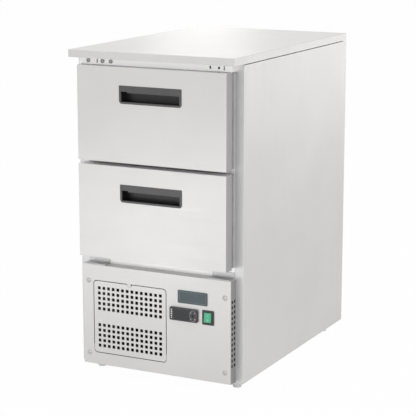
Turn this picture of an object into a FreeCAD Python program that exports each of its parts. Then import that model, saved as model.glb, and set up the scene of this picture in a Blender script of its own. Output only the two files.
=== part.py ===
import FreeCAD, Part
import math
import os

from FreeCAD import Vector

# Single-bay counter fridge with two drawers over a machine compartment.
# Millimetres, +Z up, +X to the right of someone facing the drawers, which look towards -Y.
# The origin is the centre of the footprint on the floor.

# Overall size
WIDTH = 460.0
DEPTH = 700.0
HEIGHT = 835.0
FOOT_HEIGHT = 22.0

# Sheet metal
SHEET = 1.0
FOLD_RADIUS = 0.8
SCREW_CLEARANCE = 0.05
FIT_CLEARANCE = 0.05
RIM_RADIUS = 1.2
SLOT_END_FLAT = 0.01

# Worktop
WORKTOP_THICKNESS = 19.0
WORKTOP_SHEET = 1.2
WORKTOP_OVERHANG = 50.0
WORKTOP_CORNER_RADIUS = 2.5
WORKTOP_SHADOW_GAP = 2.0
BOARD_STEP_INSET = 12.0

# Cabinet
FRONT_FLANGE = 25.0
MACHINE_FLANGE = 46.0
REAR_INSET = 12.0
BOX_FLOOR_ABOVE_PANEL = 4.2
FOAM_FLOOR = 39.3
FOAM_TOP = 39.0
FOAM_BACK = 36.0
MULLION_HEIGHT = 40.0
MULLION_DEPTH = 38.0
MULLION_SHEET = 1.2
TRAY_SHEET = 1.5
TRAY_LIP = 12.0
TRAY_BOSS_RADIUS = 9.0
TRAY_BOSS_HEIGHT = 12.0

# Parts that stand in front of the cabinet's face
STAND_OFF = 29.0
STAND_OFF_INSET = 20.0
RAIL_ABOVE_DRAWER = 0.6
PANEL_HEIGHT = 263.0
PANEL_ABOVE_BODY = 3.5

# Rail fittings, measured from the rail's ends
RAIL_PLUG_INSETS = (26.0, 66.5, 90.0)
RAIL_SLOT_LEFT_INSET = 51.5
RAIL_SLOT_RIGHT_INSET = 19.5
RAIL_SHORT_SLOT_INSET = 56.5
RAIL_HOLE_INSET = 33.5
RAIL_FITTING_DROP = 7.8
PLUG_RADIUS = 5.4
PLUG_STEM_RADIUS = 4.0
PLUG_STEM_LENGTH = 4.0
PLUG_HEAD = 1.2
PLUG_GROOVE_RADIUS = 2.6
RAIL_SLOT_WIDTH = 2.4
RAIL_SLOT_LENGTH = 11.0
RAIL_SHORT_SLOT_WIDTH = 4.0
RAIL_SHORT_SLOT_LENGTH = 7.0
RAIL_SHORT_SLOT_RADIUS = 1.0
RAIL_HOLE_RADIUS = 3.0

# Spare hinge brackets between the lower drawer and the machine panel
BRACKET_SHEET = 2.0
BRACKET_WIDTH = 60.0
BRACKET_INSET = 24.0
BRACKET_DEPTH = 26.0
BRACKET_RISE = 14.0
BRACKET_HOLE_RADIUS = 2.6
BRACKET_HOLE_SPACING = 17.0
BRACKET_HOLE_SETBACK = 8.0
FRAME_LAP = 12.0

# Dome-head screws
SCREW_HEAD_RADIUS = 6.6
SCREW_HEAD_HEIGHT = 3.2
SCREW_SHANK_RADIUS = 2.4
SCREW_TAIL = 3.0
SCREW_SLOT_REACH = 3.4
SCREW_SLOT_WIDTH = 1.2
SCREW_SLOT_DEPTH = 1.1
PANEL_SCREW_INSET = 36.5
PANEL_SCREW_RISES = (28.9, 219.9)

# Perforation: the banks' heights are from the cover's centre, the vents' from the panel's lower edge
HOLE_SIZE = 8.0
HOLE_PITCH = 13.6
GRILLE_MARGIN = 12.0
GRILLE_BANK_ROWS = 5
GRILLE_BANK_RISES = (-48.5, 49.1)
VENT_ROWS = 13
VENT_SETBACKS = (8.4, 21.8)
VENT_RISE = 127.4

# Hinged grille cover
COVER_INSET = 30.3
COVER_ABOVE_PANEL_BASE = 31.1
COVER_OPENING_HEIGHT = 191.8
CONTROLS_WIDTH = 178.7
COVER_CORNER_RADIUS = 10.0
COVER_GAP = 1.9
COVER_RETURN = 9.0
COVER_RETURN_INSET = 3.0
COVER_RETURN_START = 1.5
COVER_NOTCH_RADIUS = 6.5
COVER_HINGE_SETBACK = 5.0
COVER_HINGE_RISE = 15.0
HINGE_PIN_RADIUS = 2.0
HINGE_PIN_CLEARANCE = 0.08
HINGE_PIN_END = 1.0
HINGE_LUG_HEIGHT = 12.0
HINGE_LUG_MARGIN = 5.0
HINGE_LUG_SHEET = 1.5
HINGE_LUG_GAP = 2.3
CATCH_WIDTH = 11.0
CATCH_OFFSET = 2.5
CATCH_REACH = 12.0
CATCH_LAP = 6.0
CATCH_SETBACK = 0.4

# Name plate, left bare. A place is the centre's distance from the panel's right and lower edges.
PLATE_PLACE = (105.0, 209.5)
PLATE_WIDTH = 82.0
PLATE_HEIGHT = 33.0
PLATE_THICKNESS = 1.6
PLATE_RIM = 1.6
PLATE_RECESS = 0.4
PLATE_CORNER_RADIUS = 3.0

# Temperature controller
CONTROLLER_PLACE = (128.5, 164.5)
CONTROLLER_WIDTH = 78.0
CONTROLLER_HEIGHT = 33.5
CONTROLLER_PROUD = 6.0
CONTROLLER_CORNER_RADIUS = 4.0
CONTROLLER_BODY_WIDTH = 71.0
CONTROLLER_BODY_HEIGHT = 29.0
CONTROLLER_BODY_DEPTH = 56.0
LENS_WIDTH = 44.0
LENS_HEIGHT = 25.0
LENS_DEPTH = 1.2
LENS_OFFSET_X = -5.0
KEYPAD_OFFSET_X = 27.0
KEYPAD_WIDTH = 18.0
KEYPAD_HEIGHT = 27.0
KEY_GAP = 0.8
KEY_CLEARANCE = 0.3
KEY_THICKNESS = 3.2
KEY_PROUD = 0.9
KEY_TRAVEL_ROOM = 0.9

# Mains rocker switch
SWITCH_PLACE = (61.9, 164.3)
SWITCH_WIDTH = 32.0
SWITCH_HEIGHT = 37.0
SWITCH_BEZEL = 2.0
SWITCH_CORNER_RADIUS = 1.5
SWITCH_BODY_DEPTH = 22.0
SWITCH_BODY_MARGIN = 1.6
SWITCH_FLOOR = 6.0
ROCKER_WIDTH = 19.0
ROCKER_HEIGHT = 23.5
ROCKER_PROUD = 2.5
ROCKER_DISH = 1.0
ROCKER_PIVOT_DEPTH = 4.0
ROCKER_TILT = 8.0
ROCKER_SIDE_CLEARANCE = 0.3
ROCKER_END_CLEARANCE = 0.8
ROCKER_TAIL = 3.0
ROCKER_TAIL_SHARE = 0.6
ROCKER_AXLE_RADIUS = 1.5
ROCKER_AXLE_LENGTH = 1.4
AXLE_CLEARANCE = 0.06
AXLE_END_CLEARANCE = 0.2

# Feet
FOOT_INSET = 34.0
FOOT_FRONT_SETBACK = 88.0
FOOT_BACK_SETBACK = 60.0
FOOT_TOP_RADIUS = 14.0
FOOT_BASE_RADIUS = 10.5
FOOT_TAPER_HEIGHT = 9.0
FOOT_STEM_RADIUS = 4.0
FOOT_STEM_TOP = 44.0
FOOT_CLEARANCE = 0.3
STEM_CLEARANCE = 0.06

# Drawer fronts
DRAWER_INSET = 24.0
DRAWER_GAP = 9.5
DRAWER_ABOVE_PANEL = 26.0
DRAWER_TOP_MARGIN = 16.0
DRAWER_FRONT_THICKNESS = 31.0

# Recessed handle
HANDLE_WIDTH = 173.0
HANDLE_HEIGHT = 45.0
HANDLE_DROP = 44.5
HANDLE_PROUD = 1.5
HANDLE_CORNER_RADIUS = 8.0
HANDLE_TOP_CORNER_RADIUS = 1.5
HANDLE_TOP_BAR = 14.5
HANDLE_SIDE_BAR = 5.5
HANDLE_BOTTOM_BAR = 5.0
HANDLE_BAR_THICKNESS = 4.0
HANDLE_WALL = 1.5
HANDLE_POCKET_TOP = 4.0
HANDLE_DEPTH = 26.5
HANDLE_LIP = 3.0
HANDLE_LIP_INSET = 18.0
HANDLE_LIP_SETBACK = 0.5
HANDLE_CLEARANCE = 0.2

# Drawer seal
GASKET_INSET = 2.0
GASKET_WIDTH = 12.0
GASKET_WAIST = 3.0
GASKET_BASE = 4.0
GASKET_HEAD = 5.5
GASKET_CLEARANCE = 0.3

# Drawer frame for a 530 x 325 container
CONTAINER_CLEAR_WIDTH = 331.6
FRAME_SHEET = 1.2
FRAME_ABOVE_DRAWER_BASE = 27.0
FRAME_BELOW_DRAWER_TOP = 60.0
FRAME_LENGTH = 539.5
FRAME_LEDGE = 15.0
FRAME_LIP = 12.0

# Telescopic slides
SLIDE_SPACE = 13.0
SLIDE_SHEET = 1.2
SLIDE_HEIGHT = 45.0
SLIDE_LENGTH = 520.0
SLIDE_SETBACK = 3.0
SLIDE_ABOVE_DRAWER_BASE = 55.0
SLIDE_GAP = 0.4

# Evaporator and its cover at the back of the cold space
COVER_PLATE_SHEET = 1.2
EVAP_COVER_DEPTH = 64.0
EVAP_COVER_SIDE_GAP = 15.0
EVAP_COVER_MARGIN = 12.0
EVAP_SLOT_ROWS = 6
EVAP_SLOT_START = 40.0
EVAP_SLOT_PITCH = 18.0
EVAP_SLOT_LENGTH = 220.0
EVAP_SLOT_HEIGHT = 8.0
EVAP_FAN_RADIUS = 58.0
EVAP_FAN_DROP = 114.0
EVAP_FAN_BAR = 6.0
EVAP_FAN_BAR_SHARE = 1.2
EVAP_COIL_LEFT_GAP = 45.0
EVAP_COIL_RIGHT_GAP = 62.0
EVAP_COIL_ABOVE_FLOOR = 24.0
EVAP_COIL_BACK_GAP = 8.0

# Heat exchanger coils
COIL_ROWS = 6
COIL_ROW_PITCH = 28.0
COIL_COLUMN_PITCH = 20.0
COIL_TUBE_RADIUS = 4.0
COIL_FIN_PITCH = 11.0
COIL_FIN_SHEET = 0.8
COIL_FIN_MARGIN = 11.0
COIL_STUB = 10.0
COIL_BEND_FLAT = 0.01
CONDENSER_WIDTH = 150.0
CONDENSER_SETBACK = 24.0
CONDENSER_ABOVE_TRAY = 42.0

# Fans and their motors
FAN_CLEARANCE = 3.0
FAN_HUB_RADIUS = 19.0
FAN_HUB_LENGTH = 14.0
FAN_BLADES = 5
FAN_BLADE_SHEET = 1.6
FAN_BLADE_PITCH = 28.0
FAN_BLADE_CHORD_SHARE = 0.62
FAN_BLADE_ROOT = 4.0
FAN_MOTOR_GAP = 6.0
FAN_NOSE = 2.0
SHAFT_END_GAP = 0.5
CONDENSER_FAN_RADIUS = 78.0
MOTOR_RADIUS = 30.0
MOTOR_LENGTH = 32.0
MOTOR_EDGE_RADIUS = 3.0
MOTOR_SHAFT_RADIUS = 3.0
SHROUD_SHEET = 1.5
SHROUD_DEPTH = 60.0
SHROUD_ARM_WIDTH = 12.0
SHROUD_ARM_SHEET = 3.0
SHROUD_COLLAR_WALL = 3.0
SHROUD_COLLAR_SETBACK = 4.0
ARM_OVERLAP = 1.0

# Compressor
COMPRESSOR_SIDE_INSET = 138.0
COMPRESSOR_BACK_INSET = 188.0
COMPRESSOR_RADIUS = 72.0
COMPRESSOR_HEIGHT = 150.0
COMPRESSOR_DOME = 34.0
COMPRESSOR_FOOT = 148.0
COMPRESSOR_FOOT_SHEET = 3.0
COMPRESSOR_FOOT_CORNER = 12.0
COMPRESSOR_SKIRT = 4.0
COMPRESSOR_SKIRT_SHARE = 0.5
COMPRESSOR_SEAM = 2.5
COMPRESSOR_SEAM_HEIGHT = 6.0
COMPRESSOR_SEAM_LEVEL_SHARE = 0.48
COMPRESSOR_STUB_LEVEL_SHARE = 0.7
COMPRESSOR_STUB_OFFSET_SHARE = 0.3
MOUNT_RADIUS = 12.0
MOUNT_HEIGHT = 20.0
MOUNT_WAIST_RADIUS = 8.5
MOUNT_INSET = 2.0
MOUNT_TOP = 3.0
TERMINAL_BOX = (46.0, 16.0, 56.0)
TERMINAL_OVERLAP = 6.0
PIPE_STUB = 16.0

# Refrigerant pipes, drain and drier
PIPE_RADIUS = 4.0
PIPE_BEND = 12.0
PIPE_HOLE_CLEARANCE = 0.5
PIPE_DROP_INSET = 35.0
PIPE_BELOW_BOX = 40.0
DISCHARGE_RUN = 60.0
DISCHARGE_APPROACH = 40.0
DRIER_RADIUS = 10.0
DRIER_LENGTH = 70.0
DRIER_NECK = 14.0
DRIER_AHEAD = 210.0
DRIER_SIDE_GAP = 50.0
DRIER_ABOVE_FEED = 24.0
DRAIN_X = -100.0
DRAIN_SETBACK = 26.0
DRAIN_RADIUS = 9.0
DRAIN_BORE = 7.5
DRAIN_FLANGE_RADIUS = 14.0
DRAIN_FLANGE = 1.0
DRAIN_END_ABOVE_TRAY = 16.0
PAN_SIDE_INSET = 50.0
PAN_COMPRESSOR_GAP = 38.0
PAN_BACK_INSET = 28.0
PAN_LENGTH = 250.0
PAN_HEIGHT = 40.0
PAN_WALL = 1.5

# Cable gland, at the back, from the cabinet's left side and its base. The mains cord is left out.
GLAND_PLACE = (65.0, 213.0)
GLAND_RADIUS = 9.0
GLAND_BORE = 4.0
GLAND_COLLAR_RADIUS = 13.0
GLAND_COLLAR = 4.0
GLAND_NUT = 5.0
GLAND_BARREL_END = 3.0
GLAND_TAIL = 6.0
GLAND_TAIL_WALL = 1.5

# Rear ventilation slots
REAR_SLOT_ROWS = 7
REAR_SLOT_COLUMNS = 3
REAR_SLOT_PITCH_X = 118.0
REAR_SLOT_PITCH_Z = 16.0
REAR_SLOT_LENGTH = 92.0
REAR_SLOT_HEIGHT = 5.0
REAR_SLOT_RISE = 118.0

# Planes worked out from the sizes above
X_SIDE = WIDTH / 2
Y_FRONT = -DEPTH / 2
Y_BACK = DEPTH / 2
Y_BODY = Y_FRONT + WORKTOP_OVERHANG
Y_PANEL = Y_BODY - STAND_OFF
Y_REAR = Y_BACK - REAR_INSET
Y_DRAWER = Y_FRONT + HANDLE_PROUD
Y_DRAWER_BACK = Y_DRAWER + DRAWER_FRONT_THICKNESS
Z_WORKTOP = HEIGHT - WORKTOP_THICKNESS
Z_BODY_TOP = Z_WORKTOP - WORKTOP_SHADOW_GAP
Z_BODY = FOOT_HEIGHT
Z_TRAY = Z_BODY + SHEET + TRAY_SHEET
Z_PANEL = Z_BODY + PANEL_ABOVE_BODY
Z_PANEL_TOP = Z_PANEL + PANEL_HEIGHT
Z_BOX = Z_PANEL_TOP + BOX_FLOOR_ABOVE_PANEL
X_STAND_OFF = X_SIDE - STAND_OFF_INSET

# Places on the rail and on the lower panel
RAIL_PLUGS_X = [-X_STAND_OFF + inset for inset in RAIL_PLUG_INSETS]
RAIL_SLOTS_X = (-X_STAND_OFF + RAIL_SLOT_LEFT_INSET, X_STAND_OFF - RAIL_SLOT_RIGHT_INSET)
RAIL_SHORT_SLOT_X = X_STAND_OFF - RAIL_SHORT_SLOT_INSET
RAIL_HOLE_X = X_STAND_OFF - RAIL_HOLE_INSET
PANEL_SCREW_X = X_SIDE - PANEL_SCREW_INSET
PANEL_SCREW_Z = [Z_PANEL + rise for rise in PANEL_SCREW_RISES]
COVER_OPENING_WIDTH = 2 * X_STAND_OFF - COVER_INSET - CONTROLS_WIDTH
COVER_CENTRE_X = -X_STAND_OFF + COVER_INSET + COVER_OPENING_WIDTH / 2
COVER_CENTRE_Z = Z_PANEL + COVER_ABOVE_PANEL_BASE + COVER_OPENING_HEIGHT / 2
PLATE_CENTRE = (X_STAND_OFF - PLATE_PLACE[0], Z_PANEL + PLATE_PLACE[1])
CONTROLLER_CENTRE = (X_STAND_OFF - CONTROLLER_PLACE[0], Z_PANEL + CONTROLLER_PLACE[1])
SWITCH_CENTRE = (X_STAND_OFF - SWITCH_PLACE[0], Z_PANEL + SWITCH_PLACE[1])

# Drawer fronts, which share the height left above the panel
DRAWER_WIDTH = WIDTH - 2 * DRAWER_INSET
LOWER_DRAWER_Z = Z_PANEL_TOP + DRAWER_ABOVE_PANEL
DRAWER_HEIGHT = (Z_BODY_TOP - DRAWER_TOP_MARGIN - LOWER_DRAWER_Z - DRAWER_GAP) / 2
UPPER_DRAWER_Z = LOWER_DRAWER_Z + DRAWER_HEIGHT + DRAWER_GAP
DRAWER_BASES = {"lower": LOWER_DRAWER_Z, "upper": UPPER_DRAWER_Z}

# Cold space inside the liner, which is as wide as the drawer frame and its slides
X_FRAME = CONTAINER_CLEAR_WIDTH / 2 + FRAME_SHEET
X_LINER = X_FRAME + SLIDE_SPACE
Z_LINER = Z_BOX + SHEET + FOAM_FLOOR
Z_LINER_TOP = Z_BODY_TOP - SHEET - FOAM_TOP
Y_LINER_BACK = Y_REAR - SHEET - FOAM_BACK - SHEET
Z_MULLION = UPPER_DRAWER_Z - DRAWER_GAP / 2 - MULLION_HEIGHT / 2
Y_EVAP_COVER = Y_LINER_BACK - EVAP_COVER_DEPTH

# Machine compartment
CONDENSER_X = (COVER_CENTRE_X - CONDENSER_WIDTH / 2, COVER_CENTRE_X + CONDENSER_WIDTH / 2)
EVAP_COIL_X = (-X_LINER + EVAP_COIL_LEFT_GAP, X_LINER - EVAP_COIL_RIGHT_GAP)
COMPRESSOR_CENTRE = (X_SIDE - COMPRESSOR_SIDE_INSET, Y_REAR - COMPRESSOR_BACK_INSET)
PAN_X = (-X_SIDE + PAN_SIDE_INSET, COMPRESSOR_CENTRE[0] - COMPRESSOR_FOOT / 2 - PAN_COMPRESSOR_GAP)
PAN_Y = (Y_REAR - PAN_BACK_INSET - PAN_LENGTH, Y_REAR - PAN_BACK_INSET)


def box(x0, x1, y0, y1, z0, z1):
    """A box between two corners."""
    return Part.makeBox(x1 - x0, y1 - y0, z1 - z0, Vector(x0, y0, z0))


def cylinder(radius, start, direction, length):
    return Part.makeCylinder(radius, length, Vector(*start), Vector(*direction))


def ring(outer, inner, start, direction, length):
    return cylinder(outer, start, direction, length).cut(cylinder(inner, start, direction, length))


def fuse(shapes):
    """One solid from several that touch or overlap."""
    joined = shapes[0].multiFuse(shapes[1:]) if len(shapes) > 1 else shapes[0]
    return joined.removeSplitter()


def cut(shape, tools):
    return shape.cut(Part.makeCompound(tools)) if tools else shape


def profile_x(points, x0, x1):
    """A straight bar along X with a cross-section given as (y, z) points."""
    corners = [Vector(x0, y, z) for y, z in points]
    face = Part.Face(Part.makePolygon(corners + corners[:1]))
    return face.extrude(Vector(x1 - x0, 0, 0))


def rounded_plate(centre, width, height, y0, y1, radii):
    """A plate facing -Y; radii are for bottom left, bottom right, top right and top left."""
    cx, cz = centre
    x0, x1 = cx - width / 2, cx + width / 2
    z0, z1 = cz - height / 2, cz + height / 2
    corners = [(x0, z0), (x1, z0), (x1, z1), (x0, z1)]
    inward = [(1, 1), (-1, 1), (-1, -1), (1, -1)]
    edges = []
    previous = None
    first = None
    for index, ((x, z), (ix, iz), radius) in enumerate(zip(corners, inward, radii)):
        along_x = Vector(x + ix * radius, y0, z)
        along_z = Vector(x, y0, z + iz * radius)
        start, end = (along_z, along_x) if index % 2 == 0 else (along_x, along_z)
        middle = Vector(x + ix * radius * (1 - math.sqrt(0.5)), y0, z + iz * radius * (1 - math.sqrt(0.5)))
        if previous is not None and previous.distanceToPoint(start) > 1e-6:
            edges.append(Part.LineSegment(previous, start).toShape())
        if radius > 0:
            edges.append(Part.Arc(start, middle, end).toShape())
        first = first or start
        previous = end
    edges.append(Part.LineSegment(previous, first).toShape())
    return Part.Face(Part.Wire(edges)).extrude(Vector(0, y1 - y0, 0))


def slot(centre, width, height, y0, y1):
    """A long hole facing -Y with round ends."""
    radius = min(width, height) / 2 - SLOT_END_FLAT
    return rounded_plate(centre, width, height, y0, y1, [radius] * 4)


def round_edges(shape, radius, wanted):
    """Fillet the edges that the test picks out by their two end points."""
    open_edges = [e for e in shape.Edges if len(e.Vertexes) == 2]
    edges = [e for e in open_edges if wanted(e.Vertexes[0].Point, e.Vertexes[1].Point)]
    return shape.makeFillet(radius, edges)


def on_line(first, second, axis, **fixed):
    """True for an edge along an axis whose other coordinates have the given sizes, either side of zero."""
    direction = second - first
    across = [name for name in "xyz" if name != axis]
    straight = all(abs(getattr(direction, name)) < 1e-6 for name in across)
    placed = all(abs(abs(getattr(first, name)) - value) < 1e-4 for name, value in fixed.items())
    return straight and placed


def tube(points, radius, bend):
    """A round tube through points, with an arc at each turn."""
    corners = [Vector(*point) for point in points]
    edges = []
    here = corners[0]
    for before, corner, after in zip(corners, corners[1:], corners[2:]):
        back = (before - corner).normalize()
        ahead = (after - corner).normalize()
        angle = back.getAngle(ahead)
        reach = bend / math.tan(angle / 2)
        start = corner + back * reach
        end = corner + ahead * reach
        inward = (back + ahead).normalize()
        centre = corner + inward * (bend / math.sin(angle / 2))
        middle = centre - inward * bend
        if here.distanceToPoint(start) > 1e-6:
            edges.append(Part.LineSegment(here, start).toShape())
        edges.append(Part.Arc(start, middle, end).toShape())
        here = end
    if here.distanceToPoint(corners[-1]) > 1e-6:
        edges.append(Part.LineSegment(here, corners[-1]).toShape())
    path = Part.Wire(edges)
    heading = (corners[1] - corners[0]).normalize()
    section = Part.Wire([Part.makeCircle(radius, corners[0], heading)])
    return path.makePipeShell([section], True, False)


def dome(radius, height, centre, direction):
    """A spherical cap on a flat base."""
    sphere_radius = (radius ** 2 + height ** 2) / (2 * height)
    axis = Vector(*direction)
    base = Vector(*centre)
    sphere = Part.makeSphere(sphere_radius, base - axis * (sphere_radius - height))
    return sphere.common(Part.makeCylinder(radius, height, base, axis))


def dome_screw(x, y, z, grip):
    """A dome head on a surface facing -Y, with its shank reaching back through the grip."""
    head = dome(SCREW_HEAD_RADIUS, SCREW_HEAD_HEIGHT, (x, y, z), (0, -1, 0))
    shank = cylinder(SCREW_SHANK_RADIUS, (x, y, z), (0, 1, 0), grip)
    y0 = y - SCREW_HEAD_HEIGHT
    y1 = y0 + SCREW_SLOT_DEPTH
    reach = SCREW_SLOT_REACH
    half = SCREW_SLOT_WIDTH / 2
    level = box(x - reach, x + reach, y0, y1, z - half, z + half)
    upright = box(x - half, x + half, y0, y1, z - reach, z + reach)
    return cut(fuse([head, shank]), [level, upright])


def screw_hole(x, y0, y1, z):
    return cylinder(SCREW_SHANK_RADIUS + SCREW_CLEARANCE, (x, y0, z), (0, 1, 0), y1 - y0)


def bracket_centres():
    """X of the middle of each spare hinge bracket."""
    reach = X_SIDE - BRACKET_INSET - BRACKET_WIDTH / 2
    return (-reach, reach)


def feet_places():
    """Name and plan position of each foot."""
    x = X_SIDE - FOOT_INSET
    y_front = Y_FRONT + FOOT_FRONT_SETBACK
    y_back = Y_REAR - FOOT_BACK_SETBACK + REAR_INSET
    return {
        "foot_front_left": (-x, y_front),
        "foot_front_right": (x, y_front),
        "foot_back_left": (-x, y_back),
        "foot_back_right": (x, y_back),
    }


def make_worktop():
    outer = box(-X_SIDE, X_SIDE, Y_FRONT, Y_BACK, Z_WORKTOP, HEIGHT)
    outer = round_edges(outer, WORKTOP_CORNER_RADIUS, lambda a, b: on_line(a, b, "z", x=X_SIDE, y=-Y_FRONT))
    top_edges = [e for e in outer.Edges if all(abs(v.Z - HEIGHT) < 1e-6 for v in e.Vertexes)]
    outer = outer.makeFillet(WORKTOP_SHEET, top_edges)
    return outer.cut(worktop_core())


def worktop_core():
    """The space inside the folded worktop, which the stiffening board fills."""
    x = X_SIDE - WORKTOP_SHEET
    y = Y_BACK - WORKTOP_SHEET
    core = box(-x, x, -y, y, Z_WORKTOP, HEIGHT - WORKTOP_SHEET)
    radius = WORKTOP_CORNER_RADIUS - WORKTOP_SHEET
    return round_edges(core, radius, lambda a, b: on_line(a, b, "z", x=x, y=y))


def make_worktop_board():
    x = X_SIDE - BOARD_STEP_INSET
    step = box(-x, x, Y_BODY + BOARD_STEP_INSET, Y_REAR - BOARD_STEP_INSET, Z_BODY_TOP, Z_WORKTOP)
    return fuse([worktop_core(), step])


def make_side_panel(side):
    """Side sheet with folded flanges on the cabinet's face and under the base tray."""
    sheet = box(X_SIDE - SHEET, X_SIDE, Y_BODY, Y_BACK, Z_BODY, Z_BODY_TOP)
    face = box(X_SIDE - FRONT_FLANGE, X_SIDE, Y_BODY, Y_BODY + SHEET, Z_BODY, Z_BODY_TOP)
    machine_face = box(X_SIDE - MACHINE_FLANGE, X_SIDE, Y_BODY, Y_BODY + SHEET, Z_BODY, Z_BOX)
    foot = box(X_SIDE - FRONT_FLANGE, X_SIDE, Y_BODY, Y_REAR, Z_BODY, Z_BODY + SHEET)
    panel = fuse([sheet, face, machine_face, foot])
    panel = round_edges(panel, FOLD_RADIUS, lambda a, b: on_line(a, b, "z", x=X_SIDE, y=-Y_BODY))
    holes = [screw_hole(PANEL_SCREW_X, Y_BODY, Y_BODY + SHEET, z) for z in PANEL_SCREW_Z]
    panel = cut(panel, holes)
    if side < 0:
        panel = panel.mirror(Vector(0, 0, 0), Vector(1, 0, 0))
    return panel


def gland_centre():
    return (-X_SIDE + GLAND_PLACE[0], Z_BODY + GLAND_PLACE[1])


def make_rear_panel():
    x = X_SIDE - SHEET
    panel = box(-x, x, Y_REAR - SHEET, Y_REAR, Z_BODY + SHEET, Z_BODY_TOP)
    slots = []
    for column in range(REAR_SLOT_COLUMNS):
        cx = (column - (REAR_SLOT_COLUMNS - 1) / 2) * REAR_SLOT_PITCH_X
        for row in range(REAR_SLOT_ROWS):
            cz = Z_BODY + REAR_SLOT_RISE + (row - (REAR_SLOT_ROWS - 1) / 2) * REAR_SLOT_PITCH_Z
            slots.append(slot((cx, cz), REAR_SLOT_LENGTH, REAR_SLOT_HEIGHT, Y_REAR - SHEET, Y_REAR))
    gland_x, gland_z = gland_centre()
    slots.append(cylinder(GLAND_RADIUS, (gland_x, Y_REAR - SHEET, gland_z), (0, 1, 0), SHEET))
    return cut(panel, slots)


def drop_places():
    """Plan positions of the suction and liquid pipes where they go down through the cold box's floor."""
    x = X_LINER - PIPE_DROP_INSET
    y_back = Y_LINER_BACK - EVAP_COIL_BACK_GAP - COIL_FIN_MARGIN
    return {"liquid": (x, y_back), "suction": (x, y_back - COIL_COLUMN_PITCH)}


def drain_place():
    return (DRAIN_X, Y_LINER_BACK - DRAIN_SETBACK)


def pipe_holes(z0, z1, clearance):
    """Vertical holes for the two refrigerant pipes and the drain between two heights."""
    holes = [cylinder(PIPE_RADIUS + clearance, (x, y, z0), (0, 0, 1), z1 - z0)
             for x, y in drop_places().values()]
    x, y = drain_place()
    holes.append(cylinder(DRAIN_RADIUS + clearance, (x, y, z0), (0, 0, 1), z1 - z0))
    return holes


def make_foam_cover_sheets():
    """Flat sheets that close the foam above and below the cold space."""
    x = X_SIDE - SHEET
    sheets = []
    for z in (Z_BOX, Z_BODY_TOP - SHEET):
        sheets.append(box(-x, x, Y_BODY + SHEET, Y_REAR - SHEET, z, z + SHEET))
    sheets[0] = cut(sheets[0], pipe_holes(Z_BOX, Z_BOX + SHEET, PIPE_HOLE_CLEARANCE))
    return sheets


def make_base_tray():
    x = X_SIDE - SHEET
    z = Z_BODY + SHEET
    floor = box(-x, x, Y_BODY + SHEET, Y_REAR - SHEET, z, Z_TRAY)
    front_lip = box(-x, x, Y_BODY + SHEET, Y_BODY + SHEET + TRAY_SHEET, Z_TRAY, Z_TRAY + TRAY_LIP)
    back_lip = box(-x, x, Y_REAR - SHEET - TRAY_SHEET, Y_REAR - SHEET, Z_TRAY, Z_TRAY + TRAY_LIP)
    bosses = [cylinder(TRAY_BOSS_RADIUS, (fx, fy, z), (0, 0, 1), TRAY_SHEET + TRAY_BOSS_HEIGHT)
              for fx, fy in feet_places().values()]
    tray = fuse([floor, front_lip, back_lip] + bosses)
    hole_radius = FOOT_STEM_RADIUS + STEM_CLEARANCE
    stems = [cylinder(hole_radius, (fx, fy, z), (0, 0, 1), TRAY_SHEET + TRAY_BOSS_HEIGHT)
             for fx, fy in feet_places().values()]
    return cut(tray, stems)


def make_insulation():
    x = X_SIDE - SHEET
    foam = box(-x, x, Y_BODY + SHEET, Y_REAR - SHEET, Z_BOX + SHEET, Z_BODY_TOP - SHEET)
    cavity = box(-X_LINER - SHEET, X_LINER + SHEET, Y_BODY + SHEET, Y_LINER_BACK + SHEET,
                 Z_LINER - SHEET, Z_LINER_TOP + SHEET)
    holes = pipe_holes(Z_BOX + SHEET, Z_LINER - SHEET, PIPE_HOLE_CLEARANCE)
    return cut(foam, [cavity] + holes)


def make_inner_liner():
    outer = box(-X_LINER - SHEET, X_LINER + SHEET, Y_BODY + SHEET, Y_LINER_BACK + SHEET,
                Z_LINER - SHEET, Z_LINER_TOP + SHEET)
    inner = box(-X_LINER, X_LINER, Y_BODY + SHEET, Y_LINER_BACK, Z_LINER, Z_LINER_TOP)
    return cut(outer, [inner] + pipe_holes(Z_LINER - SHEET, Z_LINER, PIPE_HOLE_CLEARANCE))


def make_front_frame():
    """Flat ring that the drawer seals close against, with a lap behind the lower panel."""
    x = X_SIDE - FRONT_FLANGE
    plate = box(-x, x, Y_BODY, Y_BODY + SHEET, Z_BOX, Z_BODY_TOP)
    x = X_SIDE - MACHINE_FLANGE
    lap = box(-x, x, Y_BODY, Y_BODY + SHEET, Z_PANEL_TOP - FRAME_LAP, Z_BOX)
    opening = box(-X_LINER, X_LINER, Y_BODY, Y_BODY + SHEET, Z_LINER, Z_LINER_TOP)
    return fuse([plate, lap]).cut(opening)


def make_centre_mullion():
    """Channel across the opening between the drawers."""
    outer = box(-X_LINER, X_LINER, Y_BODY, Y_BODY + MULLION_DEPTH, Z_MULLION, Z_MULLION + MULLION_HEIGHT)
    inner = box(-X_LINER, X_LINER, Y_BODY + MULLION_SHEET, Y_BODY + MULLION_DEPTH,
                Z_MULLION + MULLION_SHEET, Z_MULLION + MULLION_HEIGHT - MULLION_SHEET)
    return outer.cut(inner)


def open_back_box(half_width, z0, z1, sheet):
    """A shallow folded cover that stands off the cabinet's face, open at the back."""
    outer = box(-half_width, half_width, Y_PANEL, Y_BODY, z0, z1)
    inner = box(-half_width + sheet, half_width - sheet, Y_PANEL + sheet, Y_BODY, z0 + sheet, z1 - sheet)
    front_edges = [e for e in outer.Edges if all(abs(v.Y - Y_PANEL) < 1e-6 for v in e.Vertexes)]
    return outer.makeFillet(FOLD_RADIUS, front_edges).cut(inner)


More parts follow.
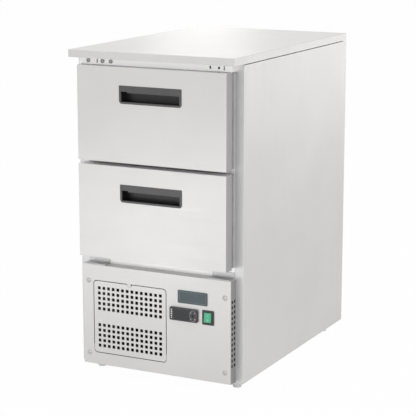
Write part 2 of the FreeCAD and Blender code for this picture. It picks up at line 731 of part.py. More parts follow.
def make_top_rail():
    z0 = UPPER_DRAWER_Z + DRAWER_HEIGHT + RAIL_ABOVE_DRAWER
    rail = open_back_box(X_STAND_OFF, z0, Z_WORKTOP, SHEET)
    z = Z_WORKTOP - RAIL_FITTING_DROP
    tools = [cylinder(PLUG_STEM_RADIUS, (x, Y_PANEL, z), (0, 1, 0), SHEET) for x in RAIL_PLUGS_X]
    tools.append(cylinder(RAIL_HOLE_RADIUS, (RAIL_HOLE_X, Y_PANEL, z), (0, 1, 0), SHEET))
    for x in RAIL_SLOTS_X:
        tools.append(slot((x, z), RAIL_SLOT_WIDTH, RAIL_SLOT_LENGTH, Y_PANEL, Y_PANEL + SHEET))
    tools.append(rounded_plate((RAIL_SHORT_SLOT_X, z), RAIL_SHORT_SLOT_WIDTH, RAIL_SHORT_SLOT_LENGTH,
                               Y_PANEL, Y_PANEL + SHEET, [RAIL_SHORT_SLOT_RADIUS] * 4))
    return cut(rail, tools)


def make_rail_plugs():
    """Snap-in plugs that close the unused hinge holes of the rail."""
    plugs = []
    z = Z_WORKTOP - RAIL_FITTING_DROP
    for x in RAIL_PLUGS_X:
        head = cylinder(PLUG_RADIUS, (x, Y_PANEL - PLUG_HEAD, z), (0, 1, 0), PLUG_HEAD)
        stem = cylinder(PLUG_STEM_RADIUS - SCREW_CLEARANCE, (x, Y_PANEL, z), (0, 1, 0), PLUG_STEM_LENGTH)
        groove_place = (x, Y_PANEL - PLUG_HEAD, z)
        groove = ring(PLUG_STEM_RADIUS, PLUG_GROOVE_RADIUS, groove_place, (0, 1, 0), PLUG_HEAD / 2)
        plugs.append(fuse([head, stem]).cut(groove))
    return plugs


def make_hinge_brackets():
    """L-shaped plates left for a door hinge, welded to each side of the cabinet's face."""
    brackets = []
    z0 = Z_PANEL_TOP
    for cx in bracket_centres():
        x0, x1 = cx - BRACKET_WIDTH / 2, cx + BRACKET_WIDTH / 2
        shelf = box(x0, x1, Y_BODY - BRACKET_DEPTH, Y_BODY, z0, z0 + BRACKET_SHEET)
        upright = box(x0, x1, Y_BODY - BRACKET_SHEET, Y_BODY, z0, z0 + BRACKET_SHEET + BRACKET_RISE)
        tools = []
        for step in (-1, 0, 1):
            place = (cx + step * BRACKET_HOLE_SPACING, Y_BODY - BRACKET_HOLE_SETBACK, z0)
            tools.append(cylinder(BRACKET_HOLE_RADIUS, place, (0, 0, 1), BRACKET_SHEET))
        brackets.append(cut(fuse([shelf, upright]), tools))
    return brackets


def make_dome_screws():
    """The four screws that hold the lower panel to the side panels' flanges."""
    grip = STAND_OFF + SHEET + SCREW_TAIL
    return [dome_screw(x, Y_PANEL, z, grip) for x in (-PANEL_SCREW_X, PANEL_SCREW_X) for z in PANEL_SCREW_Z]


def hinge_axis():
    """Y and Z of the grille cover's hinge axis."""
    bottom = COVER_CENTRE_Z - COVER_OPENING_HEIGHT / 2 + COVER_GAP
    return (Y_PANEL + COVER_HINGE_SETBACK, bottom + COVER_HINGE_RISE)


def hinge_lug_sides():
    """Inner X of each hinge lug behind the panel, with the direction away from the cover."""
    reach = COVER_OPENING_WIDTH / 2 - COVER_GAP - COVER_RETURN_INSET + SHEET + HINGE_LUG_GAP
    return ((COVER_CENTRE_X - reach, -1), (COVER_CENTRE_X + reach, 1))


def make_lower_panel():
    """Folded cover of the machine compartment, with the grille cover's hinge lugs and catch."""
    panel = open_back_box(X_STAND_OFF, Z_PANEL, Z_PANEL_TOP, SHEET)
    y, z = hinge_axis()
    y_back = Y_PANEL + SHEET
    opening_bottom = COVER_CENTRE_Z - COVER_OPENING_HEIGHT / 2
    opening_top = COVER_CENTRE_Z + COVER_OPENING_HEIGHT / 2
    additions = []
    for x, away in hinge_lug_sides():
        x0, x1 = sorted((x, x + away * HINGE_LUG_SHEET))
        additions.append(box(x0, x1, y_back, y + HINGE_LUG_MARGIN, opening_bottom - HINGE_LUG_HEIGHT,
                             z + HINGE_LUG_MARGIN))
    x0 = COVER_CENTRE_X - CATCH_OFFSET - CATCH_WIDTH / 2
    x1 = x0 + CATCH_WIDTH
    additions.append(box(x0, x1, y_back, y_back + CATCH_SETBACK, opening_top, opening_top + CATCH_LAP))
    additions.append(box(x0, x1, y_back + CATCH_SETBACK, y_back + CATCH_SETBACK + SHEET,
                         opening_top - CATCH_REACH, opening_top + CATCH_LAP))
    panel = fuse([panel] + additions)
    tools = [rounded_plate((COVER_CENTRE_X, COVER_CENTRE_Z), COVER_OPENING_WIDTH, COVER_OPENING_HEIGHT,
                           Y_PANEL, Y_PANEL + SHEET, [COVER_CORNER_RADIUS] * 4)]
    for x, away in hinge_lug_sides():
        tools.append(cylinder(HINGE_PIN_RADIUS, (x, y, z), (away, 0, 0), HINGE_LUG_SHEET))
    margin = KEY_CLEARANCE
    cx, cz = CONTROLLER_CENTRE
    tools.append(box(cx - CONTROLLER_BODY_WIDTH / 2 - margin, cx + CONTROLLER_BODY_WIDTH / 2 + margin,
                     Y_PANEL, Y_PANEL + SHEET,
                     cz - CONTROLLER_BODY_HEIGHT / 2 - margin, cz + CONTROLLER_BODY_HEIGHT / 2 + margin))
    cx, cz = SWITCH_CENTRE
    half_width = SWITCH_WIDTH / 2 - SWITCH_BODY_MARGIN + margin
    half_height = SWITCH_HEIGHT / 2 - SWITCH_BODY_MARGIN + margin
    tools.append(box(cx - half_width, cx + half_width, Y_PANEL, Y_PANEL + SHEET,
                     cz - half_height, cz + half_height))
    for x in (-PANEL_SCREW_X, PANEL_SCREW_X):
        for screw_z in PANEL_SCREW_Z:
            tools.append(screw_hole(x, Y_PANEL, Y_PANEL + SHEET, screw_z))
    half = HOLE_SIZE / 2
    for setback in VENT_SETBACKS:
        for row in range(VENT_ROWS):
            vent_z = Z_PANEL + VENT_RISE + (row - (VENT_ROWS - 1) / 2) * HOLE_PITCH
            vent_y = Y_PANEL + setback
            for x0 in (-X_STAND_OFF, X_STAND_OFF - SHEET):
                tools.append(box(x0, x0 + SHEET, vent_y - half, vent_y + half,
                                 vent_z - half, vent_z + half))
    return cut(panel, tools)


def make_grille_cover():
    """Perforated flap over the condenser, hinged at its bottom edge."""
    width = COVER_OPENING_WIDTH - 2 * COVER_GAP
    height = COVER_OPENING_HEIGHT - 2 * COVER_GAP
    cx, cz = COVER_CENTRE_X, COVER_CENTRE_Z
    radii = [COVER_CORNER_RADIUS - COVER_GAP] * 4
    sheet = rounded_plate((cx, cz), width, height, Y_PANEL, Y_PANEL + SHEET, radii)
    pieces = [sheet]
    y, z = hinge_axis()
    reach = width / 2 - COVER_RETURN_INSET
    bottom = cz - height / 2 + COVER_RETURN_START
    top = cz + height / 2 - COVER_CORNER_RADIUS
    for side in (-1, 1):
        x0, x1 = sorted((cx + side * reach, cx + side * (reach + SHEET)))
        pieces.append(box(x0, x1, Y_PANEL, Y_PANEL + COVER_RETURN, bottom, top))
    cover = fuse(pieces)
    tools = []
    half = HOLE_SIZE / 2
    columns = int((COVER_OPENING_WIDTH - 2 * GRILLE_MARGIN - HOLE_SIZE) / HOLE_PITCH) + 1
    for bank_rise in GRILLE_BANK_RISES:
        for row in range(GRILLE_BANK_ROWS):
            hole_z = cz + bank_rise + (row - (GRILLE_BANK_ROWS - 1) / 2) * HOLE_PITCH
            for column in range(columns):
                hole_x = cx + (column - (columns - 1) / 2) * HOLE_PITCH
                tools.append(box(hole_x - half, hole_x + half, Y_PANEL, Y_PANEL + SHEET,
                                 hole_z - half, hole_z + half))
    tools.append(cylinder(COVER_NOTCH_RADIUS, (cx, Y_PANEL, cz + height / 2), (0, 1, 0), SHEET))
    radius = HINGE_PIN_RADIUS + HINGE_PIN_CLEARANCE
    for side in (-1, 1):
        tools.append(cylinder(radius, (cx + side * reach, y, z), (side, 0, 0), SHEET))
    return cut(cover, tools)


def make_grille_hinge_pins():
    pins = []
    y, z = hinge_axis()
    inner = COVER_OPENING_WIDTH / 2 - COVER_GAP - COVER_RETURN_INSET - HINGE_PIN_END
    for x, away in hinge_lug_sides():
        start = COVER_CENTRE_X + away * inner
        length = abs(x + away * (HINGE_LUG_SHEET + HINGE_PIN_END) - start)
        pins.append(cylinder(HINGE_PIN_RADIUS, (start, y, z), (away, 0, 0), length))
    return pins


def make_name_plate():
    """Blank plate with a raised rim."""
    y0 = Y_PANEL - PLATE_THICKNESS
    plate = rounded_plate(PLATE_CENTRE, PLATE_WIDTH, PLATE_HEIGHT, y0, Y_PANEL, [PLATE_CORNER_RADIUS] * 4)
    recess = rounded_plate(PLATE_CENTRE, PLATE_WIDTH - 2 * PLATE_RIM, PLATE_HEIGHT - 2 * PLATE_RIM,
                           y0, y0 + PLATE_RECESS, [PLATE_CORNER_RADIUS - PLATE_RIM] * 4)
    return plate.cut(recess)


def ellipse_prism(centre, width, height, y0, y1):
    """A plug with an oval outline facing -Y."""
    major = Vector(0, 0, 1)
    oval = Part.Ellipse(Vector(centre[0], y0, centre[1]) + major * (height / 2),
                        Vector(centre[0] + width / 2, y0, centre[1]), Vector(centre[0], y0, centre[1]))
    return Part.Face(Part.Wire([oval.toShape()])).extrude(Vector(0, y1 - y0, 0))


def keypad_centre():
    return (CONTROLLER_CENTRE[0] + KEYPAD_OFFSET_X, CONTROLLER_CENTRE[1])


def lens_centre():
    return (CONTROLLER_CENTRE[0] + LENS_OFFSET_X, CONTROLLER_CENTRE[1])


def make_controller_housing():
    cx, cz = CONTROLLER_CENTRE
    y0 = Y_PANEL - CONTROLLER_PROUD
    bezel = rounded_plate(CONTROLLER_CENTRE, CONTROLLER_WIDTH, CONTROLLER_HEIGHT, y0, Y_PANEL,
                          [CONTROLLER_CORNER_RADIUS] * 4)
    front_edges = [e for e in bezel.Edges if all(abs(v.Y - y0) < 1e-6 for v in e.Vertexes)]
    bezel = bezel.makeFillet(RIM_RADIUS, front_edges)
    body = box(cx - CONTROLLER_BODY_WIDTH / 2, cx + CONTROLLER_BODY_WIDTH / 2,
               Y_PANEL, Y_PANEL + CONTROLLER_BODY_DEPTH,
               cz - CONTROLLER_BODY_HEIGHT / 2, cz + CONTROLLER_BODY_HEIGHT / 2)
    window = box(lens_centre()[0] - LENS_WIDTH / 2, lens_centre()[0] + LENS_WIDTH / 2, y0, y0 + LENS_DEPTH,
                 cz - LENS_HEIGHT / 2, cz + LENS_HEIGHT / 2)
    well = ellipse_prism(keypad_centre(), KEYPAD_WIDTH + 2 * KEY_CLEARANCE, KEYPAD_HEIGHT + 2 * KEY_CLEARANCE,
                         y0, y0 - KEY_PROUD + KEY_THICKNESS + KEY_TRAVEL_ROOM)
    return cut(fuse([bezel, body]), [window, well])


def make_controller_lens():
    x, z = lens_centre()
    y0 = Y_PANEL - CONTROLLER_PROUD
    margin = FIT_CLEARANCE
    return box(x - LENS_WIDTH / 2 + margin, x + LENS_WIDTH / 2 - margin, y0, y0 + LENS_DEPTH,
               z - LENS_HEIGHT / 2 + margin, z + LENS_HEIGHT / 2 - margin)


def make_key(side, level):
    """One quarter of the oval keypad: side -1 or 1 along X, level -1 or 1 along Z."""
    x, z = keypad_centre()
    y0 = Y_PANEL - CONTROLLER_PROUD - KEY_PROUD
    pad = ellipse_prism((x, z), KEYPAD_WIDTH, KEYPAD_HEIGHT, y0, y0 + KEY_THICKNESS)
    x0, x1 = sorted((x + side * KEY_GAP / 2, x + side * KEYPAD_WIDTH))
    z0, z1 = sorted((z + level * KEY_GAP / 2, z + level * KEYPAD_HEIGHT))
    return pad.common(box(x0, x1, y0, y0 + KEY_THICKNESS, z0, z1))


def rocker_pivot_y():
    return Y_PANEL - SWITCH_BEZEL + ROCKER_PIVOT_DEPTH


def make_switch_bezel():
    """Switch housing with a pocket for the rocker and holes for its stub axles."""
    cx, cz = SWITCH_CENTRE
    y0 = Y_PANEL - SWITCH_BEZEL
    radii = [SWITCH_CORNER_RADIUS] * 4
    flange = rounded_plate(SWITCH_CENTRE, SWITCH_WIDTH, SWITCH_HEIGHT, y0, Y_PANEL, radii)
    half_width = SWITCH_WIDTH / 2 - SWITCH_BODY_MARGIN
    half_height = SWITCH_HEIGHT / 2 - SWITCH_BODY_MARGIN
    body = box(cx - half_width, cx + half_width, Y_PANEL, Y_PANEL + SWITCH_BODY_DEPTH,
               cz - half_height, cz + half_height)
    pocket_x = ROCKER_WIDTH / 2 + ROCKER_SIDE_CLEARANCE
    pocket_z = ROCKER_HEIGHT / 2 + ROCKER_END_CLEARANCE
    pocket = box(cx - pocket_x, cx + pocket_x, y0, Y_PANEL + SWITCH_BODY_DEPTH - SWITCH_FLOOR,
                 cz - pocket_z, cz + pocket_z)
    axle_x = ROCKER_WIDTH / 2 + ROCKER_AXLE_LENGTH + AXLE_END_CLEARANCE
    axle_radius = ROCKER_AXLE_RADIUS + AXLE_CLEARANCE
    axle = cylinder(axle_radius, (cx - axle_x, rocker_pivot_y(), cz), (1, 0, 0), 2 * axle_x)
    return cut(fuse([flange, body]), [pocket, axle])


def make_switch_rocker():
    """Dished rocker on stub axles, resting with its lower end pressed in."""
    cx, cz = SWITCH_CENTRE
    y = rocker_pivot_y()
    front = y - ROCKER_PIVOT_DEPTH - ROCKER_PROUD
    half = ROCKER_HEIGHT / 2
    tail = half * ROCKER_TAIL_SHARE
    points = [(front - ROCKER_DISH, cz + half), (front, cz), (front - ROCKER_DISH, cz - half), (y, cz - half),
              (y + ROCKER_TAIL, cz - tail), (y + ROCKER_TAIL, cz + tail), (y, cz + half)]
    rocker = profile_x(points, cx - ROCKER_WIDTH / 2, cx + ROCKER_WIDTH / 2)
    axle = cylinder(ROCKER_AXLE_RADIUS, (cx - ROCKER_WIDTH / 2 - ROCKER_AXLE_LENGTH, y, cz), (1, 0, 0),
                    ROCKER_WIDTH + 2 * ROCKER_AXLE_LENGTH)
    rocker = fuse([rocker, axle])
    rocker.rotate(Vector(cx, y, cz), Vector(1, 0, 0), -ROCKER_TILT)
    return rocker


def make_foot(x, y):
    """Turned foot with a threaded stem, seen as a plain shaft."""
    top = Z_BODY - FOOT_CLEARANCE
    taper = Part.makeCone(FOOT_BASE_RADIUS, FOOT_TOP_RADIUS, FOOT_TAPER_HEIGHT,
                          Vector(x, y, 0), Vector(0, 0, 1))
    collar = cylinder(FOOT_TOP_RADIUS, (x, y, FOOT_TAPER_HEIGHT), (0, 0, 1), top - FOOT_TAPER_HEIGHT)
    stem = cylinder(FOOT_STEM_RADIUS, (x, y, top), (0, 0, 1), FOOT_STEM_TOP - top)
    return fuse([taper, collar, stem])


def handle_centre(base):
    return (0.0, base + DRAWER_HEIGHT - HANDLE_DROP - HANDLE_HEIGHT / 2)


def handle_bucket(base, clearance):
    """The part of the handle that passes through the drawer's skin and into its foam."""
    z_top = base + DRAWER_HEIGHT - HANDLE_DROP
    half = HANDLE_WIDTH / 2 - HANDLE_SIDE_BAR + HANDLE_WALL + clearance
    z0 = z_top - HANDLE_HEIGHT + HANDLE_BOTTOM_BAR - HANDLE_WALL - clearance
    z1 = z_top - HANDLE_POCKET_TOP + HANDLE_WALL + clearance
    back = Y_FRONT + HANDLE_DEPTH + HANDLE_WALL + clearance
    return box(-half, half, Y_DRAWER, back, z0, z1)


def make_handle(base):
    """Moulded recessed pull: a rim, a top bar with a lip to hook the fingers behind, and a deep tray."""
    z_top = base + DRAWER_HEIGHT - HANDLE_DROP
    rim = rounded_plate(handle_centre(base), HANDLE_WIDTH, HANDLE_HEIGHT, Y_FRONT, Y_DRAWER,
                        [HANDLE_CORNER_RADIUS, HANDLE_CORNER_RADIUS,
                         HANDLE_TOP_CORNER_RADIUS, HANDLE_TOP_CORNER_RADIUS])
    front_edges = [e for e in rim.Edges if all(abs(v.Y - Y_FRONT) < 1e-6 for v in e.Vertexes)]
    rim = rim.makeFillet(RIM_RADIUS, front_edges)
    body = fuse([rim, handle_bucket(base, 0.0)])
    half = HANDLE_WIDTH / 2 - HANDLE_SIDE_BAR
    bar_bottom = z_top - HANDLE_TOP_BAR
    pocket_top = z_top - HANDLE_POCKET_TOP
    floor = z_top - HANDLE_HEIGHT + HANDLE_BOTTOM_BAR
    bar_back = Y_FRONT + HANDLE_BAR_THICKNESS
    back = Y_FRONT + HANDLE_DEPTH
    mouth = box(-half, half, Y_FRONT, back, floor, bar_bottom)
    pocket = box(-half, half, bar_back, back, bar_bottom, pocket_top)
    lip = box(-half + HANDLE_LIP_INSET, half, Y_FRONT + HANDLE_LIP_SETBACK, bar_back,
              bar_bottom - HANDLE_LIP, bar_bottom)
    return body.cut(fuse([mouth, pocket]).cut(lip))


def make_drawer_skin(base):
    """Folded stainless pan that forms the front and the edges of a drawer front."""
    half = DRAWER_WIDTH / 2
    top = base + DRAWER_HEIGHT
    outer = box(-half, half, Y_DRAWER, Y_DRAWER_BACK, base, top)
    front_edges = [e for e in outer.Edges if all(abs(v.Y - Y_DRAWER) < 1e-6 for v in e.Vertexes)]
    outer = outer.makeFillet(FOLD_RADIUS, front_edges)
    inner = box(-half + SHEET, half - SHEET, Y_DRAWER + SHEET, Y_DRAWER_BACK, base + SHEET, top - SHEET)
    return cut(outer, [inner, handle_bucket(base, HANDLE_CLEARANCE)])


def make_drawer_foam(base):
    half = DRAWER_WIDTH / 2 - SHEET
    foam = box(-half, half, Y_DRAWER + SHEET, Y_DRAWER_BACK - SHEET,
               base + SHEET, base + DRAWER_HEIGHT - SHEET)
    return foam.cut(handle_bucket(base, 0.0))


def make_drawer_back(base):
    """Inner plate that closes the drawer front behind its foam."""
    half = DRAWER_WIDTH / 2 - SHEET
    return box(-half, half, Y_DRAWER_BACK - SHEET, Y_DRAWER_BACK,
               base + SHEET, base + DRAWER_HEIGHT - SHEET)


def make_gasket(base):
    """Magnetic seal: a base in the drawer's back, a narrow bellows and a head that meets the cabinet."""
    y_end = Y_BODY - GASKET_CLEARANCE

    def loop(inset, width, y0, y1):
        half = DRAWER_WIDTH / 2 - inset
        z0, z1 = base + inset, base + DRAWER_HEIGHT - inset
        outer = box(-half, half, y0, y1, z0, z1)
        return outer.cut(box(-half + width, half - width, y0, y1, z0 + width, z1 - width))

    foot = loop(GASKET_INSET, GASKET_WIDTH, Y_DRAWER_BACK, Y_DRAWER_BACK + GASKET_BASE)
    waist = loop(GASKET_INSET + GASKET_WAIST, GASKET_WIDTH - 2 * GASKET_WAIST,
                 Y_DRAWER_BACK + GASKET_BASE, y_end - GASKET_HEAD)
    head = loop(GASKET_INSET, GASKET_WIDTH, y_end - GASKET_HEAD, y_end)
    return fuse([foot, waist, head])


def make_drawer_frame(base):
    """Open frame that a catering container hangs in, with ledges along its sides."""
    z0 = base + FRAME_ABOVE_DRAWER_BASE
    z1 = base + DRAWER_HEIGHT - FRAME_BELOW_DRAWER_TOP
    y0 = Y_DRAWER_BACK
    y1 = y0 + FRAME_LENGTH
    outer = box(-X_FRAME, X_FRAME, y0, y1, z0, z1)
    inside = X_FRAME - FRAME_SHEET
    inner = box(-inside, inside, y0 + FRAME_SHEET, y1 - FRAME_SHEET, z0, z1)
    pieces = [outer.cut(inner)]
    for side in (-1, 1):
        x0, x1 = sorted((side * inside, side * (inside - FRAME_LEDGE)))
        pieces.append(box(x0, x1, y0 + FRAME_SHEET, y1 - FRAME_SHEET, z1 - FRAME_SHEET, z1))
        x0, x1 = sorted((side * inside, side * (inside - FRAME_LIP)))
        pieces.append(box(x0, x1, y0 + FRAME_SHEET, y1 - FRAME_SHEET, z0, z0 + FRAME_SHEET))
    return fuse(pieces)


def slide_channel(base, side, web, tip, half_height):
    """One slide member: a channel on edge, its web and flange tips given as distances from the liner."""
    centre = base + SLIDE_ABOVE_DRAWER_BASE
    y0 = Y_BODY + SLIDE_SETBACK
    y1 = y0 + SLIDE_LENGTH
    wall = (web, web + SLIDE_SHEET) if tip > web else (web - SLIDE_SHEET, web)
    reach = (min(web, tip), max(web, tip))

    def bar(near, far, z0, z1):
        x0, x1 = sorted((side * (X_LINER - near), side * (X_LINER - far)))
        return box(x0, x1, y0, y1, z0, z1)

    lower = bar(reach[0], reach[1], centre - half_height, centre - half_height + SLIDE_SHEET)
    upper = bar(reach[0], reach[1], centre + half_height - SLIDE_SHEET, centre + half_height)
    upright = bar(wall[0], wall[1], centre - half_height, centre + half_height)
    return fuse([upright, lower, upper])


def slide_sizes():
    """Web place, flange tip place and half height of the three nested members."""
    outer_half = SLIDE_HEIGHT / 2
    middle_half = outer_half - SLIDE_SHEET - SLIDE_GAP
    inner_half = middle_half - SLIDE_SHEET - SLIDE_GAP
    middle_web = SLIDE_SHEET + SLIDE_GAP
    inner_tip = middle_web + SLIDE_SHEET + SLIDE_GAP
    inner_web = SLIDE_SPACE
    return {
        "outer": (0.0, inner_web - SLIDE_SHEET - 2 * SLIDE_GAP, outer_half),
        "middle": (middle_web, inner_web - SLIDE_SHEET - SLIDE_GAP, middle_half),
        "inner": (inner_web, inner_tip, inner_half),
    }


def make_slides(base, member):
    web, tip, half_height = slide_sizes()[member]
    return [slide_channel(base, side, web, tip, half_height) for side in (-1, 1)]


def coil_path(x0, x1, y, z, stub_end):
    """Serpentine through two columns of tubes, from one stub on the right to the other."""
    half_turn = COIL_ROW_PITCH / 2
    points = [(stub_end, y, z)]
    for row in range(COIL_ROWS):
        height = z + row * COIL_ROW_PITCH
        near, far = (x1 + half_turn, x0 - half_turn) if row % 2 == 0 else (x0 - half_turn, x1 + half_turn)
        if row > 0:
            points.append((near, y, height))
        points.append((far, y, height))
    other = y + COIL_COLUMN_PITCH
    for row in reversed(range(COIL_ROWS)):
        height = z + row * COIL_ROW_PITCH
        near, far = (x0 - half_turn, x1 + half_turn) if row % 2 == 0 else (x1 + half_turn, x0 - half_turn)
        points.append((near, other, height))
        points.append((far, other, height) if row > 0 else (stub_end, other, height))
    return points


def make_coil(x0, x1, y, z, stub_end):
    """Finned coil: a tube in two columns of rows, brazed through flat fins."""
    bend = COIL_COLUMN_PITCH / 2 - COIL_BEND_FLAT
    pipe = tube(coil_path(x0, x1, y, z, stub_end), COIL_TUBE_RADIUS, bend)
    fins = []
    count = int((x1 - x0) / COIL_FIN_PITCH)
    y0, y1 = y - COIL_FIN_MARGIN, y + COIL_COLUMN_PITCH + COIL_FIN_MARGIN
    z0, z1 = z - COIL_FIN_MARGIN, z + (COIL_ROWS - 1) * COIL_ROW_PITCH + COIL_FIN_MARGIN
    start = (x0 + x1 - (count - 1) * COIL_FIN_PITCH - COIL_FIN_SHEET) / 2
    for index in range(count):
        x = start + index * COIL_FIN_PITCH
        fins.append(box(x, x + COIL_FIN_SHEET, y0, y1, z0, z1))
    return fuse([pipe] + fins)


def condenser_place():
    """Y of the front column and Z of the bottom row."""
    return (Y_BODY + CONDENSER_SETBACK, Z_TRAY + CONDENSER_ABOVE_TRAY)


def evaporator_place():
    y = Y_LINER_BACK - EVAP_COIL_BACK_GAP - COIL_FIN_MARGIN - COIL_COLUMN_PITCH
    return (y, Z_LINER + EVAP_COIL_ABOVE_FLOOR)


def condenser_fan_centre():
    y, z = condenser_place()
    return (sum(CONDENSER_X) / 2, z + (COIL_ROWS - 1) * COIL_ROW_PITCH / 2)


def shroud_front():
    return condenser_place()[0] + COIL_COLUMN_PITCH + COIL_FIN_MARGIN


def condenser_motor_front():
    return shroud_front() + SHROUD_DEPTH - MOTOR_LENGTH / 2


def evaporator_fan_centre():
    return (0.0, Z_LINER_TOP - EVAP_FAN_DROP)


def evaporator_motor_front():
    return Y_LINER_BACK - MOTOR_LENGTH


def make_motor(centre, y_front):
    """Fan motor with its shaft pointing to -Y."""
    x, z = centre
    can = cylinder(MOTOR_RADIUS, (x, y_front, z), (0, 1, 0), MOTOR_LENGTH)
    rims = [e for e in can.Edges
            if max(abs(e.BoundBox.YMin - y_front), abs(e.BoundBox.YMax - y_front)) < 1e-6]
    can = can.makeFillet(MOTOR_EDGE_RADIUS, rims)
    reach = FAN_MOTOR_GAP + FAN_HUB_LENGTH - FAN_NOSE - SHAFT_END_GAP
    shaft = cylinder(MOTOR_SHAFT_RADIUS, (x, y_front - reach, z), (0, 1, 0), reach)
    return fuse([can, shaft])


def make_fan(centre, y_front, radius):
    """Axial fan: a hub on the motor's shaft with pitched blades."""
    x, z = centre
    hub = cylinder(FAN_HUB_RADIUS, (x, y_front, z), (0, 1, 0), FAN_HUB_LENGTH)
    blades = []
    chord = radius * FAN_BLADE_CHORD_SHARE
    root = FAN_HUB_RADIUS - FAN_BLADE_ROOT
    for index in range(FAN_BLADES):
        corner = Vector(-chord / 2, -FAN_BLADE_SHEET / 2, root)
        blade = Part.makeBox(chord, FAN_BLADE_SHEET, radius - root, corner)
        blade.rotate(Vector(0, 0, 0), Vector(0, 0, 1), FAN_BLADE_PITCH)
        blade.rotate(Vector(0, 0, 0), Vector(0, 1, 0), index * 360.0 / FAN_BLADES)
        blade.translate(Vector(x, y_front + FAN_HUB_LENGTH / 2, z))
        blades.append(blade)
    depth = chord * math.sin(math.radians(FAN_BLADE_PITCH)) + FAN_BLADE_SHEET
    envelope = cylinder(radius, (x, y_front + FAN_HUB_LENGTH / 2 - depth, z), (0, 1, 0), 2 * depth)
    fan = fuse([hub] + [blade.common(envelope) for blade in blades])
    bore = cylinder(MOTOR_SHAFT_RADIUS + FIT_CLEARANCE, (x, y_front + FAN_NOSE, z), (0, 1, 0), FAN_HUB_LENGTH)
    return fan.cut(bore)


def make_fan_shroud():
    """Plate and duct behind the condenser, with arms that carry the fan motor."""
    x, z = condenser_fan_centre()
    y0 = shroud_front()
    half_width = (CONDENSER_X[1] - CONDENSER_X[0]) / 2 + COIL_FIN_MARGIN
    half_height = (COIL_ROWS - 1) * COIL_ROW_PITCH / 2 + COIL_FIN_MARGIN
    bore = CONDENSER_FAN_RADIUS + FAN_CLEARANCE
    plate = box(x - half_width, x + half_width, y0, y0 + SHROUD_SHEET, z - half_height, z + half_height)
    duct = cylinder(bore + SHROUD_SHEET, (x, y0, z), (0, 1, 0), SHROUD_DEPTH)
    collar_y = condenser_motor_front() + SHROUD_COLLAR_SETBACK
    collar = cylinder(MOTOR_RADIUS + SHROUD_COLLAR_WALL, (x, collar_y, z), (0, 1, 0), SHROUD_ARM_WIDTH)
    shell = cut(fuse([plate, duct]), [cylinder(bore, (x, y0, z), (0, 1, 0), SHROUD_DEPTH)])
    arms = []
    for angle in (45, 135, 225, 315):
        arm = Part.makeBox(bore - MOTOR_RADIUS + ARM_OVERLAP, SHROUD_ARM_WIDTH, SHROUD_ARM_SHEET,
                           Vector(MOTOR_RADIUS, 0, -SHROUD_ARM_SHEET / 2))
        arm.rotate(Vector(0, 0, 0), Vector(0, 1, 0), angle)
        arm.translate(Vector(x, collar_y, z))
        arms.append(arm)
    foot = box(x - half_width, x + half_width, y0, y0 + SHROUD_DEPTH, Z_TRAY, Z_TRAY + SHROUD_SHEET)
    riser = box(x - half_width, x + half_width, y0, y0 + SHROUD_SHEET, Z_TRAY, z - half_height)
    shroud = fuse([shell, collar, foot, riser] + arms)
    return shroud.cut(cylinder(MOTOR_RADIUS, (x, collar_y, z), (0, 1, 0), SHROUD_ARM_WIDTH))


def compressor_base():
    return Z_TRAY + MOUNT_HEIGHT


def compressor_stubs():
    """Start, direction and pipe end of the discharge and suction stubs on the shell."""
    x, y = COMPRESSOR_CENTRE
    z = compressor_base() + COMPRESSOR_FOOT_SHEET + COMPRESSOR_SKIRT
    z += COMPRESSOR_HEIGHT * COMPRESSOR_STUB_LEVEL_SHARE
    reach = COMPRESSOR_RADIUS + PIPE_STUB
    offset = COMPRESSOR_RADIUS * COMPRESSOR_STUB_OFFSET_SHARE
    return {
        "suction": ((x + offset, y, z), (0, 1, 0), (x + offset, y + reach, z)),
        "discharge": ((x - offset, y, z), (0, -1, 0), (x - offset, y - reach, z)),
    }


def mount_places():
    x, y = COMPRESSOR_CENTRE
    reach = COMPRESSOR_FOOT / 2 - MOUNT_RADIUS - MOUNT_INSET
    return [(x + sx * reach, y + sy * reach) for sx in (-1, 1) for sy in (-1, 1)]


